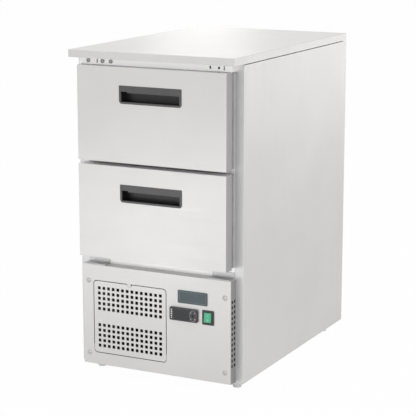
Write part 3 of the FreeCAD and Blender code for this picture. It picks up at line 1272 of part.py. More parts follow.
def make_compressor():
    """Hermetic compressor: a domed pot on a foot plate, with pipe stubs and a terminal cover."""
    x, y = COMPRESSOR_CENTRE
    z0 = compressor_base()
    half = COMPRESSOR_FOOT / 2
    plate = box(x - half, x + half, y - half, y + half, z0, z0 + COMPRESSOR_FOOT_SHEET)
    corner_edges = [e for e in plate.Edges if e.BoundBox.ZLength > COMPRESSOR_FOOT_SHEET / 2]
    plate = plate.makeFillet(COMPRESSOR_FOOT_CORNER, corner_edges)
    z1 = z0 + COMPRESSOR_FOOT_SHEET + COMPRESSOR_SKIRT
    pot = cylinder(COMPRESSOR_RADIUS, (x, y, z1), (0, 0, 1), COMPRESSOR_HEIGHT)
    rims = [e for e in pot.Edges if e.BoundBox.ZLength < 1e-6]
    pot = pot.makeFillet(COMPRESSOR_DOME, rims)
    skirt = cylinder(COMPRESSOR_RADIUS * COMPRESSOR_SKIRT_SHARE, (x, y, z0), (0, 0, 1),
                     COMPRESSOR_FOOT_SHEET + COMPRESSOR_DOME)
    z_seam = z1 + COMPRESSOR_HEIGHT * COMPRESSOR_SEAM_LEVEL_SHARE
    seam = cylinder(COMPRESSOR_RADIUS + COMPRESSOR_SEAM, (x, y, z_seam), (0, 0, 1), COMPRESSOR_SEAM_HEIGHT)
    stubs = [Part.makeCylinder(PIPE_RADIUS, Vector(*start).distanceToPoint(Vector(*end)), Vector(*start),
                               Vector(*direction)) for start, direction, end in compressor_stubs().values()]
    wide, deep, tall = TERMINAL_BOX
    cover_x = x - COMPRESSOR_RADIUS - deep
    terminal = box(cover_x, x - COMPRESSOR_RADIUS + TERMINAL_OVERLAP, y - wide / 2, y + wide / 2,
                   z1 + COMPRESSOR_DOME, z1 + COMPRESSOR_DOME + tall)
    compressor = fuse([plate, skirt, pot, seam, terminal] + stubs)
    holes = [cylinder(MOUNT_WAIST_RADIUS, (mx, my, z0), (0, 0, 1), COMPRESSOR_FOOT_SHEET)
             for mx, my in mount_places()]
    return cut(compressor, holes)


def make_compressor_mounts():
    """Rubber grommets under and through the compressor's foot plate."""
    mounts = []
    for x, y in mount_places():
        foot = cylinder(MOUNT_RADIUS, (x, y, Z_TRAY), (0, 0, 1), MOUNT_HEIGHT)
        waist = cylinder(MOUNT_WAIST_RADIUS - STEM_CLEARANCE, (x, y, Z_TRAY), (0, 0, 1),
                         MOUNT_HEIGHT + COMPRESSOR_FOOT_SHEET + MOUNT_TOP)
        mounts.append(fuse([foot, waist]))
    return mounts


def make_refrigerant_pipes():
    """Suction line, discharge line, and the liquid line with its filter drier."""
    stubs = compressor_stubs()
    drops = drop_places()
    y_evap, z_evap = evaporator_place()
    y_cond, z_cond = condenser_place()
    evap_end = EVAP_COIL_X[1] + COIL_STUB
    cond_end = CONDENSER_X[1] + COIL_STUB
    x, y = drops["suction"]
    end = stubs["suction"][2]
    level = Z_BOX - PIPE_BELOW_BOX
    suction = tube([(evap_end, y_evap, z_evap), (x, y, z_evap), (x, y, level), (end[0], y, level),
                    (end[0], y, end[2]), end], PIPE_RADIUS, PIPE_BEND)
    start = stubs["discharge"][2]
    y_inlet = y_cond + COIL_COLUMN_PITCH
    discharge = tube([start, (start[0], start[1] - DISCHARGE_RUN, start[2]),
                      (start[0], y_inlet + DISCHARGE_APPROACH, z_cond), (start[0], y_inlet, z_cond),
                      (cond_end, y_inlet, z_cond)], PIPE_RADIUS, PIPE_BEND)
    x, y = drops["liquid"]
    drier_x = X_SIDE - DRIER_SIDE_GAP
    drier_y = COMPRESSOR_CENTRE[1] - DRIER_AHEAD
    drier_z = z_cond + DRIER_ABOVE_FEED
    drier_top = drier_z + DRIER_LENGTH + 2 * DRIER_NECK
    feed = tube([(cond_end, y_cond, z_cond), (drier_x, y_cond, z_cond), (drier_x, drier_y, z_cond),
                 (drier_x, drier_y, drier_z)], PIPE_RADIUS, PIPE_BEND)
    can = cylinder(DRIER_RADIUS, (drier_x, drier_y, drier_z + DRIER_NECK), (0, 0, 1), DRIER_LENGTH)
    lower_neck = Part.makeCone(PIPE_RADIUS, DRIER_RADIUS, DRIER_NECK, Vector(drier_x, drier_y, drier_z))
    upper_neck = Part.makeCone(DRIER_RADIUS, PIPE_RADIUS, DRIER_NECK,
                               Vector(drier_x, drier_y, drier_z + DRIER_NECK + DRIER_LENGTH))
    drier = fuse([lower_neck, can, upper_neck])
    route = [(drier_x, drier_y, drier_top), (drier_x, drier_y, level), (drier_x, y, level),
             (x, y, level), (x, y, z_evap), (evap_end, y, z_evap)]
    liquid = tube(route, PIPE_RADIUS, PIPE_BEND)
    return [suction, discharge, feed, drier, liquid]


def make_evaporator_cover():
    """Vented cover over the evaporator, with a barred opening in front of the fan."""
    half = X_LINER - EVAP_COVER_SIDE_GAP
    z0, z1 = Z_LINER + EVAP_COVER_MARGIN, Z_LINER_TOP - EVAP_COVER_MARGIN
    outer = box(-half, half, Y_EVAP_COVER, Y_LINER_BACK, z0, z1)
    sheet = COVER_PLATE_SHEET
    inner = box(-half + sheet, half - sheet, Y_EVAP_COVER + sheet, Y_LINER_BACK, z0, z1 - sheet)
    cover = outer.cut(inner)
    x, z = evaporator_fan_centre()
    mouth = cylinder(EVAP_FAN_RADIUS + FAN_CLEARANCE, (x, Y_EVAP_COVER, z), (0, 1, 0), sheet)
    half_bar = EVAP_FAN_BAR / 2
    reach = EVAP_FAN_RADIUS * EVAP_FAN_BAR_SHARE
    bars = [box(x - half_bar, x + half_bar, Y_EVAP_COVER, Y_EVAP_COVER + sheet, z - reach, z + reach),
            box(x - reach, x + reach, Y_EVAP_COVER, Y_EVAP_COVER + sheet, z - half_bar, z + half_bar)]
    slots = []
    for row in range(EVAP_SLOT_ROWS):
        slot_z = z0 + EVAP_SLOT_START + row * EVAP_SLOT_PITCH
        slots.append(box(-EVAP_SLOT_LENGTH / 2, EVAP_SLOT_LENGTH / 2, Y_EVAP_COVER, Y_EVAP_COVER + sheet,
                         slot_z, slot_z + EVAP_SLOT_HEIGHT))
    return cut(cover, [cut(mouth, bars)] + slots)


def make_drain_and_pan():
    """Drain pipe from the cold space and the pan over the tray that the water dries off in."""
    x, y = drain_place()
    z0 = Z_TRAY + DRAIN_END_ABOVE_TRAY
    pipe = cylinder(DRAIN_RADIUS, (x, y, z0), (0, 0, 1), Z_LINER - z0)
    flange = cylinder(DRAIN_FLANGE_RADIUS, (x, y, Z_LINER), (0, 0, 1), DRAIN_FLANGE)
    bore = cylinder(DRAIN_BORE, (x, y, z0), (0, 0, 1), Z_LINER + DRAIN_FLANGE - z0)
    drain = fuse([pipe, flange]).cut(bore)
    outer = box(PAN_X[0], PAN_X[1], PAN_Y[0], PAN_Y[1], Z_TRAY, Z_TRAY + PAN_HEIGHT)
    inner = box(PAN_X[0] + PAN_WALL, PAN_X[1] - PAN_WALL, PAN_Y[0] + PAN_WALL, PAN_Y[1] - PAN_WALL,
                Z_TRAY + PAN_WALL, Z_TRAY + PAN_HEIGHT)
    return [drain, outer.cut(inner)]


def make_cable_gland():
    """Gland where the mains cable enters, with a collar outside and a nut inside the rear panel."""
    x, z = gland_centre()
    y_in = Y_REAR - SHEET
    y0 = y_in - GLAND_NUT - GLAND_BARREL_END
    y_end = Y_REAR + GLAND_COLLAR + GLAND_TAIL
    barrel = cylinder(GLAND_RADIUS - STEM_CLEARANCE, (x, y0, z), (0, 1, 0), Y_REAR - y0)
    collar = cylinder(GLAND_COLLAR_RADIUS, (x, Y_REAR, z), (0, 1, 0), GLAND_COLLAR)
    tail = Part.makeCone(GLAND_RADIUS, GLAND_BORE + GLAND_TAIL_WALL, GLAND_TAIL,
                         Vector(x, Y_REAR + GLAND_COLLAR, z), Vector(0, 1, 0))
    corners = [Vector(x + GLAND_COLLAR_RADIUS * math.cos(math.radians(a)), y_in - GLAND_NUT,
                      z + GLAND_COLLAR_RADIUS * math.sin(math.radians(a))) for a in range(0, 360, 60)]
    nut = Part.Face(Part.makePolygon(corners + corners[:1])).extrude(Vector(0, GLAND_NUT, 0))
    gland = fuse([barrel, collar, tail, nut])
    return gland.cut(cylinder(GLAND_BORE, (x, y0, z), (0, 1, 0), y_end - y0))


def all_nodes():
    """Every node's name and its solid or solids."""
    nodes = {
        "worktop": make_worktop(),
        "worktop_board": make_worktop_board(),
        "left_side_panel": make_side_panel(-1),
        "right_side_panel": make_side_panel(1),
        "rear_panel": make_rear_panel(),
        "foam_cover_sheets": make_foam_cover_sheets(),
        "base_tray": make_base_tray(),
        "insulation": make_insulation(),
        "inner_liner": make_inner_liner(),
        "front_frame": make_front_frame(),
        "centre_mullion": make_centre_mullion(),
        "top_rail": make_top_rail(),
        "rail_plugs": make_rail_plugs(),
        "hinge_brackets": make_hinge_brackets(),
        "dome_screws": make_dome_screws(),
        "lower_panel": make_lower_panel(),
        "grille_cover": make_grille_cover(),
        "grille_hinge_pins": make_grille_hinge_pins(),
        "name_plate": make_name_plate(),
        "controller_housing": make_controller_housing(),
        "controller_lens": make_controller_lens(),
        "key_up": make_key(-1, 1),
        "key_set": make_key(1, 1),
        "key_down": make_key(-1, -1),
        "key_standby": make_key(1, -1),
        "switch_bezel": make_switch_bezel(),
        "switch_rocker": make_switch_rocker(),
        "slide_outer_members": make_slides(LOWER_DRAWER_Z, "outer") + make_slides(UPPER_DRAWER_Z, "outer"),
        "evaporator_cover": make_evaporator_cover(),
        "compressor": make_compressor(),
        "compressor_mounts": make_compressor_mounts(),
        "refrigerant_pipes": make_refrigerant_pipes(),
        "drain_and_pan": make_drain_and_pan(),
        "fan_shroud": make_fan_shroud(),
        "cable_gland": make_cable_gland(),
    }
    for name, (x, y) in feet_places().items():
        nodes[name] = make_foot(x, y)
    for name, base in DRAWER_BASES.items():
        nodes["drawer_skin_" + name] = make_drawer_skin(base)
        nodes["drawer_foam_" + name] = make_drawer_foam(base)
        nodes["drawer_back_" + name] = make_drawer_back(base)
        nodes["drawer_handle_" + name] = make_handle(base)
        nodes["drawer_gasket_" + name] = make_gasket(base)
        nodes["drawer_frame_" + name] = make_drawer_frame(base)
        nodes["slide_middle_" + name] = make_slides(base, "middle")
        nodes["slide_inner_" + name] = make_slides(base, "inner")
    y, z = condenser_place()
    nodes["condenser"] = make_coil(CONDENSER_X[0], CONDENSER_X[1], y, z, CONDENSER_X[1] + COIL_STUB)
    y, z = evaporator_place()
    nodes["evaporator"] = make_coil(EVAP_COIL_X[0], EVAP_COIL_X[1], y, z, EVAP_COIL_X[1] + COIL_STUB)
    motor_y = condenser_motor_front()
    evap_motor_y = evaporator_motor_front()
    nodes["fan_motors"] = [make_motor(condenser_fan_centre(), motor_y),
                           make_motor(evaporator_fan_centre(), evap_motor_y)]
    hub_gap = FAN_HUB_LENGTH + FAN_MOTOR_GAP
    nodes["condenser_fan"] = make_fan(condenser_fan_centre(), motor_y - hub_gap, CONDENSER_FAN_RADIUS)
    nodes["evaporator_fan"] = make_fan(evaporator_fan_centre(), evap_motor_y - hub_gap, EVAP_FAN_RADIUS)
    return nodes


def main():
    os.makedirs("parts", exist_ok=True)
    for name, made in all_nodes().items():
        solids = made if isinstance(made, list) else [made]
        count = sum(len(shape.Solids) for shape in solids)
        shape = solids[0] if len(solids) == 1 else Part.makeCompound(solids)
        if not shape.isValid() or count == 0:
            print("not a valid solid:", name)
        shape.exportStep(os.path.join("parts", name + ".step"))
        extent = shape.BoundBox
        print(f"{name}: {count} solid(s), x {extent.XMin:.1f}..{extent.XMax:.1f}, "
              f"y {extent.YMin:.1f}..{extent.YMax:.1f}, z {extent.ZMin:.1f}..{extent.ZMax:.1f}")


main()
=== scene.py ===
import bpy
import math

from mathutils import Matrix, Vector


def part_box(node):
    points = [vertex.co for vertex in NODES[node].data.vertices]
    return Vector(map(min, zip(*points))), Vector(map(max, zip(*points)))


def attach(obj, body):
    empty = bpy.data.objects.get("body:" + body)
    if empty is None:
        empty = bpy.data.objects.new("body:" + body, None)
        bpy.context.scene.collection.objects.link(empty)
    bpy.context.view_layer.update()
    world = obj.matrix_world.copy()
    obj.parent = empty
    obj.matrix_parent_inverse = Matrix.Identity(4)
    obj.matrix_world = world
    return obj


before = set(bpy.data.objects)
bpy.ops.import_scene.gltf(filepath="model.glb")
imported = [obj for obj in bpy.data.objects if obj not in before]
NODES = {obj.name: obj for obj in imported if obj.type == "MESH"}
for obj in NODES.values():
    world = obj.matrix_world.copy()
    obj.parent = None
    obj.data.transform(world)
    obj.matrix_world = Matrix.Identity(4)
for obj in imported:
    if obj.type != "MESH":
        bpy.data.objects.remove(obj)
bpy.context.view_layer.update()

# Looks of a slim stainless counter fridge with two drawers.
# Metres, +Z up, the drawers look towards -Y, and the origin is on the floor.

MM = 0.001
FRONT, BACK = -1, 1

# Camera, as the photograph was taken
CAMERA_PLACE = (1.7778, -3.5637, 1.2353)
CAMERA_YAW = 26.75
CAMERA_PITCH = 11.99
CAMERA_LENS = 132.2
CAMERA_REACH = (0.05, 100.0)
SENSOR_WIDTH = 36.0

# Studio
FLOOR_SIZE = 40.0
FLOOR_DROP = 0.5 * MM
FLOOR_PAINT = (0.86, 0.86, 0.86)
FLOOR_GLOW_SHARE = 0.98
WORLD_STRENGTH = 0.55
WHITE = (1.0, 1.0, 1.0)
SEEN_RAYS = ("Is Camera Ray", "Is Glossy Ray", "Is Transmission Ray")

# Lamps: name, place, what it points at, width and height, watts
LAMPS = (
    ("key_left", (-2.4, -3.0, 2.2), (0.0, -0.2, 0.45), (2.4, 2.4), 13.0),
    ("front_fill", (2.4, -3.1, 0.42), (0.0, -0.3, 0.45), (2.4, 0.7), 24.0),
    ("floor_bounce", (-0.42, -1.4, 0.17), (0.05, -0.35, 0.38), (0.7, 0.28), 1.3),
    ("floor_left", (-1.1, -1.6, 0.13), (-0.15, -0.35, 0.25), (0.7, 0.22), 0.12),
    ("right_high", (3.2, -0.8, 2.6), (0.2, 0.0, 0.6), (2.2, 2.2), 21.0),
    ("right_low", (2.0, 4.2, 0.45), (0.23, 0.0, 0.60), (1.6, 0.8), 6.6),
    ("overhead", (0.0, 0.4, 3.4), (0.0, 0.0, 0.8), (4.6, 4.6), 41.0),
    ("back_band", (-1.62, 3.1, 1.3), (0.0, 0.0, 0.83), (0.45, 1.0), 2.2),
)

# Steel
STEEL = (0.620, 0.613, 0.606)
# Pale steel of the front frame and the top rail: painted light, so that these recessed parts under the
# worktop's overhang show as bright as the fronts
PAINTED_LIGHT_STEEL = (0.90, 0.895, 0.89)
STEEL_METALLIC = 0.55
STEEL_ROUGHNESS = 0.42
PALE_ROUGHNESS = 0.44
GRAIN_ALONG = 6.0
GRAIN_ACROSS = 520.0
# Colour of the side panels' front flanges: painted light on the strip beside the drawers, which the
# drawers shade
FLANGE_PAINTED_LIGHT = (0.65, 0.645, 0.645)
# Painted shade on the upright returns of the drawer fronts and of the lower panel: the share of colour
# they keep, and its cool tint
RETURN_PAINTED_SHADE = 0.66
PANEL_RETURN_PAINTED_SHADE = 0.50
RETURN_SHADE_TINT = (1.0, 0.99, 1.02)
# Painted light: pale colours for the faces that look up or down, the drawers' folded edges and the lower
# panel's top flange, which the drawers shade
DRAWER_FOLD_PAINTED_LIGHT = (0.86, 0.85, 0.86)
PANEL_FOLD_PAINTED_LIGHT = (0.66, 0.65, 0.65)
# Painted shade inside the lower panel and the machine compartment: near-black from this far inside the
# panel's edges
INSIDE_START = 1.4 * MM
PAINTED_SHADE_BLACK = (0.012, 0.012, 0.012)
# Painted shade round the rims of the dome screws: where it starts and ends along the normal, and the share
# of colour left
RIM_START, RIM_END = 0.84, 0.62
RIM_PAINTED_SHADE = 0.45

# Grey film that seals the board under the worktop
SEALED = (0.42, 0.42, 0.42)

# Plastic
PLASTIC_GRAIN = 1600.0
# Painted shade inside the pull's pocket: how far behind the pull's front it starts, and the share of
# colour left
POCKET_START = 4.5 * MM
POCKET_PAINTED_SHADE = 0.06
# Painted shade in the plugs' groove: how far behind the plug's front it starts, and the share of colour
# left
GROOVE_START = 0.25 * MM
GROOVE_PAINTED_SHADE = 0.30
KEY_DISC_RADIUS = 3.4 * MM
KEY_DISC_SHARE = 0.15

# Size of a normal's part along an axis, over and under which a face looks along or across it
ALONG = 0.75
ACROSS = 0.35

# Sockets of the Mix node when it mixes colours
MIX_FACTOR, MIX_FIRST, MIX_SECOND, MIX_RESULT = 0, 6, 7, 2

# Prints
PRINT_THICKNESS = 0.12 * MM
PRINT_GRAIN = 2400.0
RING_STEPS = 32

# Signs left of the display: bars are width and height, triangles half width, drop and rise
MARK_PITCH = 5.2 * MM
STAR_ARM = (4.4 * MM, 0.9 * MM)
STAR_TURNS = (0.0, 60.0, 120.0)
FAN_BLADE = (4.4 * MM, 1.5 * MM)
FAN_TURNS = (45.0, 135.0)
DROP = (1.0 * MM, 3.4 * MM)
DROP_PITCH = 1.6 * MM
WARNING = (2.2 * MM, 1.7 * MM, 2.1 * MM)
DOT_RADIUS = 1.5 * MM
DOT_STEPS = 24

# Signs on the keys, and the line round the keypad
KEY_MARK_SHIFT = 0.15
KEY_ARROW = (1.3 * MM, 0.8 * MM, 1.1 * MM)
KEY_PLUS_LENGTH = 2.0 * MM
KEY_PLUS_WIDTH = 0.6 * MM
KEY_RING = (1.1 * MM, 0.6 * MM)
KEYPAD_LINE_REACH = 0.9 * MM
KEYPAD_LINE_SHARE = 0.07
KEYPAD_LINE_STEPS = 48

# Signs on the rocker
ROCKER_LINE = (0.9 * MM, 4.2 * MM)
ROCKER_RING = (2.3 * MM, 1.5 * MM)

# Line inside the name plate's rim
PLATE_LINE = 0.5 * MM
PLATE_LINE_INSET = 3.6 * MM

# Screws of the rear panel: the head's radius and height, step by step
REAR_SCREW_ROWS = 4
REAR_SCREW_INSET = 12.0 * MM
REAR_SCREW_TURN = 20.0
SCREW_HEAD = ((3.9 * MM, 0.7 * MM), (3.5 * MM, 1.2 * MM), (2.8 * MM, 1.6 * MM))
SCREW_HEAD_STEPS = 28
SCREW_CROSS = (0.55 * MM, 3.4 * MM)


def place(obj):
    """Link a new object into the scene."""
    bpy.context.scene.collection.objects.link(obj)
    return obj


def make_camera():
    data = bpy.data.cameras.new("camera")
    data.sensor_width = SENSOR_WIDTH
    data.lens = CAMERA_LENS
    data.clip_start, data.clip_end = CAMERA_REACH
    camera = place(bpy.data.objects.new("camera", data))
    camera.location = CAMERA_PLACE
    camera.rotation_euler = (math.radians(90.0 - CAMERA_PITCH), 0.0, math.radians(CAMERA_YAW))
    bpy.context.scene.camera = camera


def area_light(name, location, target, size, power):
    data = bpy.data.lights.new(name, "AREA")
    data.shape = "RECTANGLE"
    data.size, data.size_y = size
    data.energy = power
    lamp = place(bpy.data.objects.new(name, data))
    lamp.location = location
    direction = Vector(target) - Vector(location)
    lamp.rotation_euler = direction.to_track_quat("-Z", "Y").to_euler()
    lamp.visible_camera = False


def make_lights():
    for lamp in LAMPS:
        area_light(*lamp)


def rgba(colour):
    return (*colour, 1.0)


def feed(tree, socket, value):
    """Link another node's output to this socket, or set the socket to a value."""
    if isinstance(value, bpy.types.NodeSocket):
        tree.links.new(value, socket)
    else:
        socket.default_value = value


def math_node(tree, operation, *inputs):
    """The result of a Math node. Each input is another node's output or a number."""
    node = tree.nodes.new("ShaderNodeMath")
    node.operation = operation
    for socket, value in zip(node.inputs, inputs):
        feed(tree, socket, value)
    return node.outputs[0]


def studio_shader(tree, output, lighting, seen, seen_share=1.0):
    """Light the object with one shader, and show the other, by this share, to rays that are seen."""
    path = tree.nodes.new("ShaderNodeLightPath")
    factor = path.outputs[SEEN_RAYS[0]]
    for name in SEEN_RAYS[1:]:
        factor = math_node(tree, "MAXIMUM", factor, path.outputs[name])
    mix = tree.nodes.new("ShaderNodeMixShader")
    tree.links.new(math_node(tree, "MULTIPLY", factor, seen_share), mix.inputs[0])
    tree.links.new(lighting.outputs[0], mix.inputs[1])
    tree.links.new(seen.outputs[0], mix.inputs[2])
    tree.links.new(mix.outputs[0], output.inputs["Surface"])


def make_world():
    world = bpy.data.worlds.new("studio")
    bpy.context.scene.world = world
    world.use_nodes = True
    tree = world.node_tree
    tree.nodes.clear()
    output = tree.nodes.new("ShaderNodeOutputWorld")
    lighting = tree.nodes.new("ShaderNodeBackground")
    lighting.inputs["Color"].default_value = rgba(WHITE)
    lighting.inputs["Strength"].default_value = WORLD_STRENGTH
    seen = tree.nodes.new("ShaderNodeBackground")
    seen.inputs["Color"].default_value = rgba(WHITE)
    studio_shader(tree, output, lighting, seen)


def make_floor():
    half = FLOOR_SIZE / 2
    mesh = bpy.data.meshes.new("floor")
    corners = [(-half, -half, 0.0), (half, -half, 0.0), (half, half, 0.0), (-half, half, 0.0)]
    mesh.from_pydata(corners, [], [(0, 1, 2, 3)])
    floor = place(bpy.data.objects.new("floor", mesh))
    floor.location.z = -FLOOR_DROP
    material = bpy.data.materials.new("floor")
    material.use_nodes = True
    tree = material.node_tree
    tree.nodes.clear()
    output = tree.nodes.new("ShaderNodeOutputMaterial")
    paint = tree.nodes.new("ShaderNodeBsdfDiffuse")
    paint.inputs["Color"].default_value = rgba(FLOOR_PAINT)
    glow = tree.nodes.new("ShaderNodeEmission")
    glow.inputs["Color"].default_value = rgba(WHITE)
    studio_shader(tree, output, paint, glow, FLOOR_GLOW_SHARE)
    mesh.materials.append(material)


class Surface:
    """A procedural material: a Principled shader with helpers that add its patterns."""

    def __init__(self, name, colour, roughness, metallic=0.0):
        self.material = bpy.data.materials.new(name)
        self.material.use_nodes = True
        self.tree = self.material.node_tree
        self.shader = self.tree.nodes["Principled BSDF"]
        self.colour = colour
        self.roughness = roughness
        self.shader.inputs["Base Color"].default_value = rgba(colour)
        self.shader.inputs["Roughness"].default_value = roughness
        self.shader.inputs["Metallic"].default_value = metallic
        places = self.tree.nodes.new("ShaderNodeTexCoord")
        self.coordinates = places.outputs["Object"]
        self.normal = places.outputs["Normal"]
        self.painted = None
        self.height = None

    def stretched(self, scale):
        mapping = self.tree.nodes.new("ShaderNodeMapping")
        mapping.inputs["Scale"].default_value = scale
        self.tree.links.new(self.coordinates, mapping.inputs["Vector"])
        return mapping.outputs["Vector"]

    def noise(self, scale, stretch=(1.0, 1.0, 1.0), detail=3.0):
        texture = self.tree.nodes.new("ShaderNodeTexNoise")
        texture.inputs["Scale"].default_value = scale
        texture.inputs["Detail"].default_value = detail
        self.tree.links.new(self.stretched(stretch), texture.inputs["Vector"])
        return texture.outputs["Fac"]

    def voronoi(self, scale, stretch=(1.0, 1.0, 1.0)):
        texture = self.tree.nodes.new("ShaderNodeTexVoronoi")
        texture.inputs["Scale"].default_value = scale
        self.tree.links.new(self.stretched(stretch), texture.inputs["Vector"])
        return texture

    def span(self, value, low, high, start=0.3, end=0.7):
        """Map a pattern's values from start..end to low..high."""
        ranged = self.tree.nodes.new("ShaderNodeMapRange")
        ranged.inputs["From Min"].default_value = start
        ranged.inputs["From Max"].default_value = end
        ranged.inputs["To Min"].default_value = low
        ranged.inputs["To Max"].default_value = high
        self.tree.links.new(value, ranged.inputs["Value"])
        return ranged.outputs["Result"]

    def axis(self, vector, name):
        split = self.tree.nodes.new("ShaderNodeSeparateXYZ")
        self.tree.links.new(vector, split.inputs["Vector"])
        return split.outputs[name.upper()]

    def distance_from_zero(self, vector, name):
        return math_node(self.tree, "ABSOLUTE", self.axis(vector, name))

    def turned_from(self, name, start=ALONG, end=ACROSS):
        """1 on faces that look across this axis of the part, 0 on faces that look along it."""
        return self.span(self.distance_from_zero(self.normal, name), 0.0, 1.0, start, end)

    def facing(self, name):
        """1 on faces that look along this axis of the part, 0 on faces that look across it."""
        return self.turned_from(name, ACROSS, ALONG)

    def beyond(self, name, value, ramp=0.6 * MM):
        """1 where the part's own coordinate is over this value, otherwise 0."""
        return self.span(self.axis(self.coordinates, name), 0.0, 1.0, value, value + ramp)

    def below(self, name, value, ramp=0.6 * MM):
        """1 where the part's own coordinate is under this value, otherwise 0."""
        return self.span(self.axis(self.coordinates, name), 0.0, 1.0, value, value - ramp)

    def within(self, name, half, ramp=0.3 * MM):
        """1 where the part's own coordinate is nearer to zero than this, otherwise 0."""
        return self.span(self.distance_from_zero(self.coordinates, name), 0.0, 1.0, half, half - ramp)

    def near(self, centre, radius, ramp=0.4 * MM):
        """1 inside a ball about a point of the part, otherwise 0."""
        reach = self.tree.nodes.new("ShaderNodeVectorMath")
        reach.operation = "DISTANCE"
        reach.inputs[1].default_value = centre
        self.tree.links.new(self.coordinates, reach.inputs[0])
        return self.span(reach.outputs["Value"], 0.0, 1.0, radius, radius - ramp)

    def both(self, first, *others):
        """1 where every one of these masks is 1."""
        for other in others:
            first = math_node(self.tree, "MULTIPLY", first, other)
        return first

    def mix(self, factor, first, second, blend="MIX"):
        """Send a mix of two colours to the shader."""
        node = self.tree.nodes.new("ShaderNodeMix")
        node.data_type = "RGBA"
        node.blend_type = blend
        self.tree.links.new(factor, node.inputs[MIX_FACTOR])
        feed(self.tree, node.inputs[MIX_FIRST], first)
        feed(self.tree, node.inputs[MIX_SECOND], second)
        self.painted = node.outputs[MIX_RESULT]
        self.tree.links.new(self.painted, self.shader.inputs["Base Color"])

    def shade(self, pattern, amount, tint=(1.0, 1.0, 1.0)):
        """Vary the colour by a pattern, up to this share darker or lighter."""
        low = [c * (1.0 - amount) for c in self.colour]
        high = [min(1.0, c * (1.0 + amount) * t) for c, t in zip(self.colour, tint)]
        self.mix(self.span(pattern, 0.0, 1.0), rgba(low), rgba(high))

    def darken(self, mask, share, tint=(1.0, 1.0, 1.0)):
        """Multiply the colour by this share where the mask is 1."""
        self.mix(mask, self.painted, rgba([share * part for part in tint]), "MULTIPLY")

    def cover(self, mask, colour):
        """Show this colour where the mask is 1."""
        self.mix(mask, self.painted, rgba(colour))

    def rough(self, pattern, amount):
        """Vary the roughness by a pattern."""
        low, high = self.roughness - amount, self.roughness + amount
        self.tree.links.new(self.span(pattern, low, high), self.shader.inputs["Roughness"])

    def bump(self, pattern, distance, strength):
        """Raise the surface by a pattern."""
        node = self.tree.nodes.new("ShaderNodeBump")
        node.inputs["Distance"].default_value = distance
        node.inputs["Strength"].default_value = strength
        self.tree.links.new(pattern, node.inputs["Height"])
        if self.height is not None:
            self.tree.links.new(self.height, node.inputs["Normal"])
        self.height = node.outputs["Normal"]
        self.tree.links.new(self.height, self.shader.inputs["Normal"])


def steel_surface(name, colour, roughness, grain):
    """Stainless sheet with fine scratches along one axis: grain is "x", "y" or "z"."""
    surface = Surface(name, colour, roughness, STEEL_METALLIC)
    stretch = [GRAIN_ALONG if axis == grain else GRAIN_ACROSS for axis in "xyz"]
    scratches = surface.noise(1.0, stretch, detail=4.0)
    surface.shade(surface.noise(5.0), amount=0.025)
    surface.rough(scratches, amount=0.05)
    surface.bump(scratches, distance=0.02 * MM, strength=0.25)
    return surface


def brushed_steel(name, colour, roughness, grain):
    return steel_surface(name, colour, roughness, grain).material


def folded_front(name, returns, fold):
    """A front sheet: painted shade darkens its upright returns, and painted light makes its faces that
    look up or down pale, the edge folded back from its top among them.
    """
    surface = steel_surface(name, STEEL, STEEL_ROUGHNESS, "x")
    # Painted shade: the upright returns are darkened
    surface.darken(surface.facing("x"), returns, RETURN_SHADE_TINT)
    # Painted light: faces that look up or down get a pale colour
    surface.cover(surface.facing("z"), fold)
    return surface


def drawer_front(name):
    return folded_front(name, RETURN_PAINTED_SHADE, DRAWER_FOLD_PAINTED_LIGHT).material


def panel_front(name, panel_low, panel_high):
    """The lower panel, painted near-black inside as painted shade."""
    surface = folded_front(name, PANEL_RETURN_PAINTED_SHADE, PANEL_FOLD_PAINTED_LIGHT)
    behind = surface.beyond("y", panel_low.y + INSIDE_START)
    inside = surface.within("x", panel_high.x - INSIDE_START)
    under = surface.below("z", panel_high.z - INSIDE_START)
    # Painted shade: near-black inside the panel
    surface.cover(surface.both(behind, inside, under), PAINTED_SHADE_BLACK)
    return surface.material


def side_sheet(name, panel_high):
    """A side panel whose front flange gets a pale colour as painted light, and is painted near-black as
    painted shade where the lower panel hides it.
    """
    surface = steel_surface(name, STEEL, STEEL_ROUGHNESS, "z")
    flange = surface.facing("y")
    # Painted light: a pale colour on the front flange
    surface.cover(flange, FLANGE_PAINTED_LIGHT)
    hidden = surface.both(flange, surface.within("x", panel_high.x - INSIDE_START))
    # Painted shade: near-black where the lower panel hides the flange
    surface.cover(surface.both(hidden, surface.below("z", panel_high.z)), PAINTED_SHADE_BLACK)
    return surface.material


def galvanised_steel(name, colour, roughness):
    """Zinc-coated sheet with its spangle."""
    surface = Surface(name, colour, roughness, metallic=0.75)
    spangle = surface.voronoi(320.0)
    surface.shade(surface.axis(spangle.outputs["Color"], "x"), amount=0.05)
    surface.rough(surface.noise(60.0), amount=0.08)
    surface.bump(surface.noise(400.0), distance=0.03 * MM, strength=0.3)
    return surface.material


def plated_steel(name, colour, roughness):
    surface = Surface(name, colour, roughness, metallic=1.0)
    surface.shade(surface.noise(40.0), amount=0.05)
    surface.rough(surface.noise(900.0), amount=0.06)
    return surface.material


def dome_steel(name, colour, roughness):
    """Screw heads, darkened towards the rim by painted shade."""
    surface = Surface(name, colour, roughness, metallic=0.7)
    surface.shade(surface.noise(300.0), amount=0.06)
    # Painted shade: darker towards the rim
    surface.darken(surface.turned_from("y", RIM_START, RIM_END), RIM_PAINTED_SHADE)
    surface.rough(surface.noise(900.0), amount=0.05)
    return surface.material


def moulded_surface(name, colour, roughness, grain=PLASTIC_GRAIN, depth=0.04 * MM):
    surface = Surface(name, colour, roughness)
    surface.shade(surface.noise(30.0), amount=0.08)
    surface.rough(surface.noise(200.0), amount=0.05)
    surface.bump(surface.noise(grain, detail=2.0), depth, strength=0.5)
    return surface


def moulded_plastic(name, colour, roughness, **grain_and_depth):
    return moulded_surface(name, colour, roughness, **grain_and_depth).material


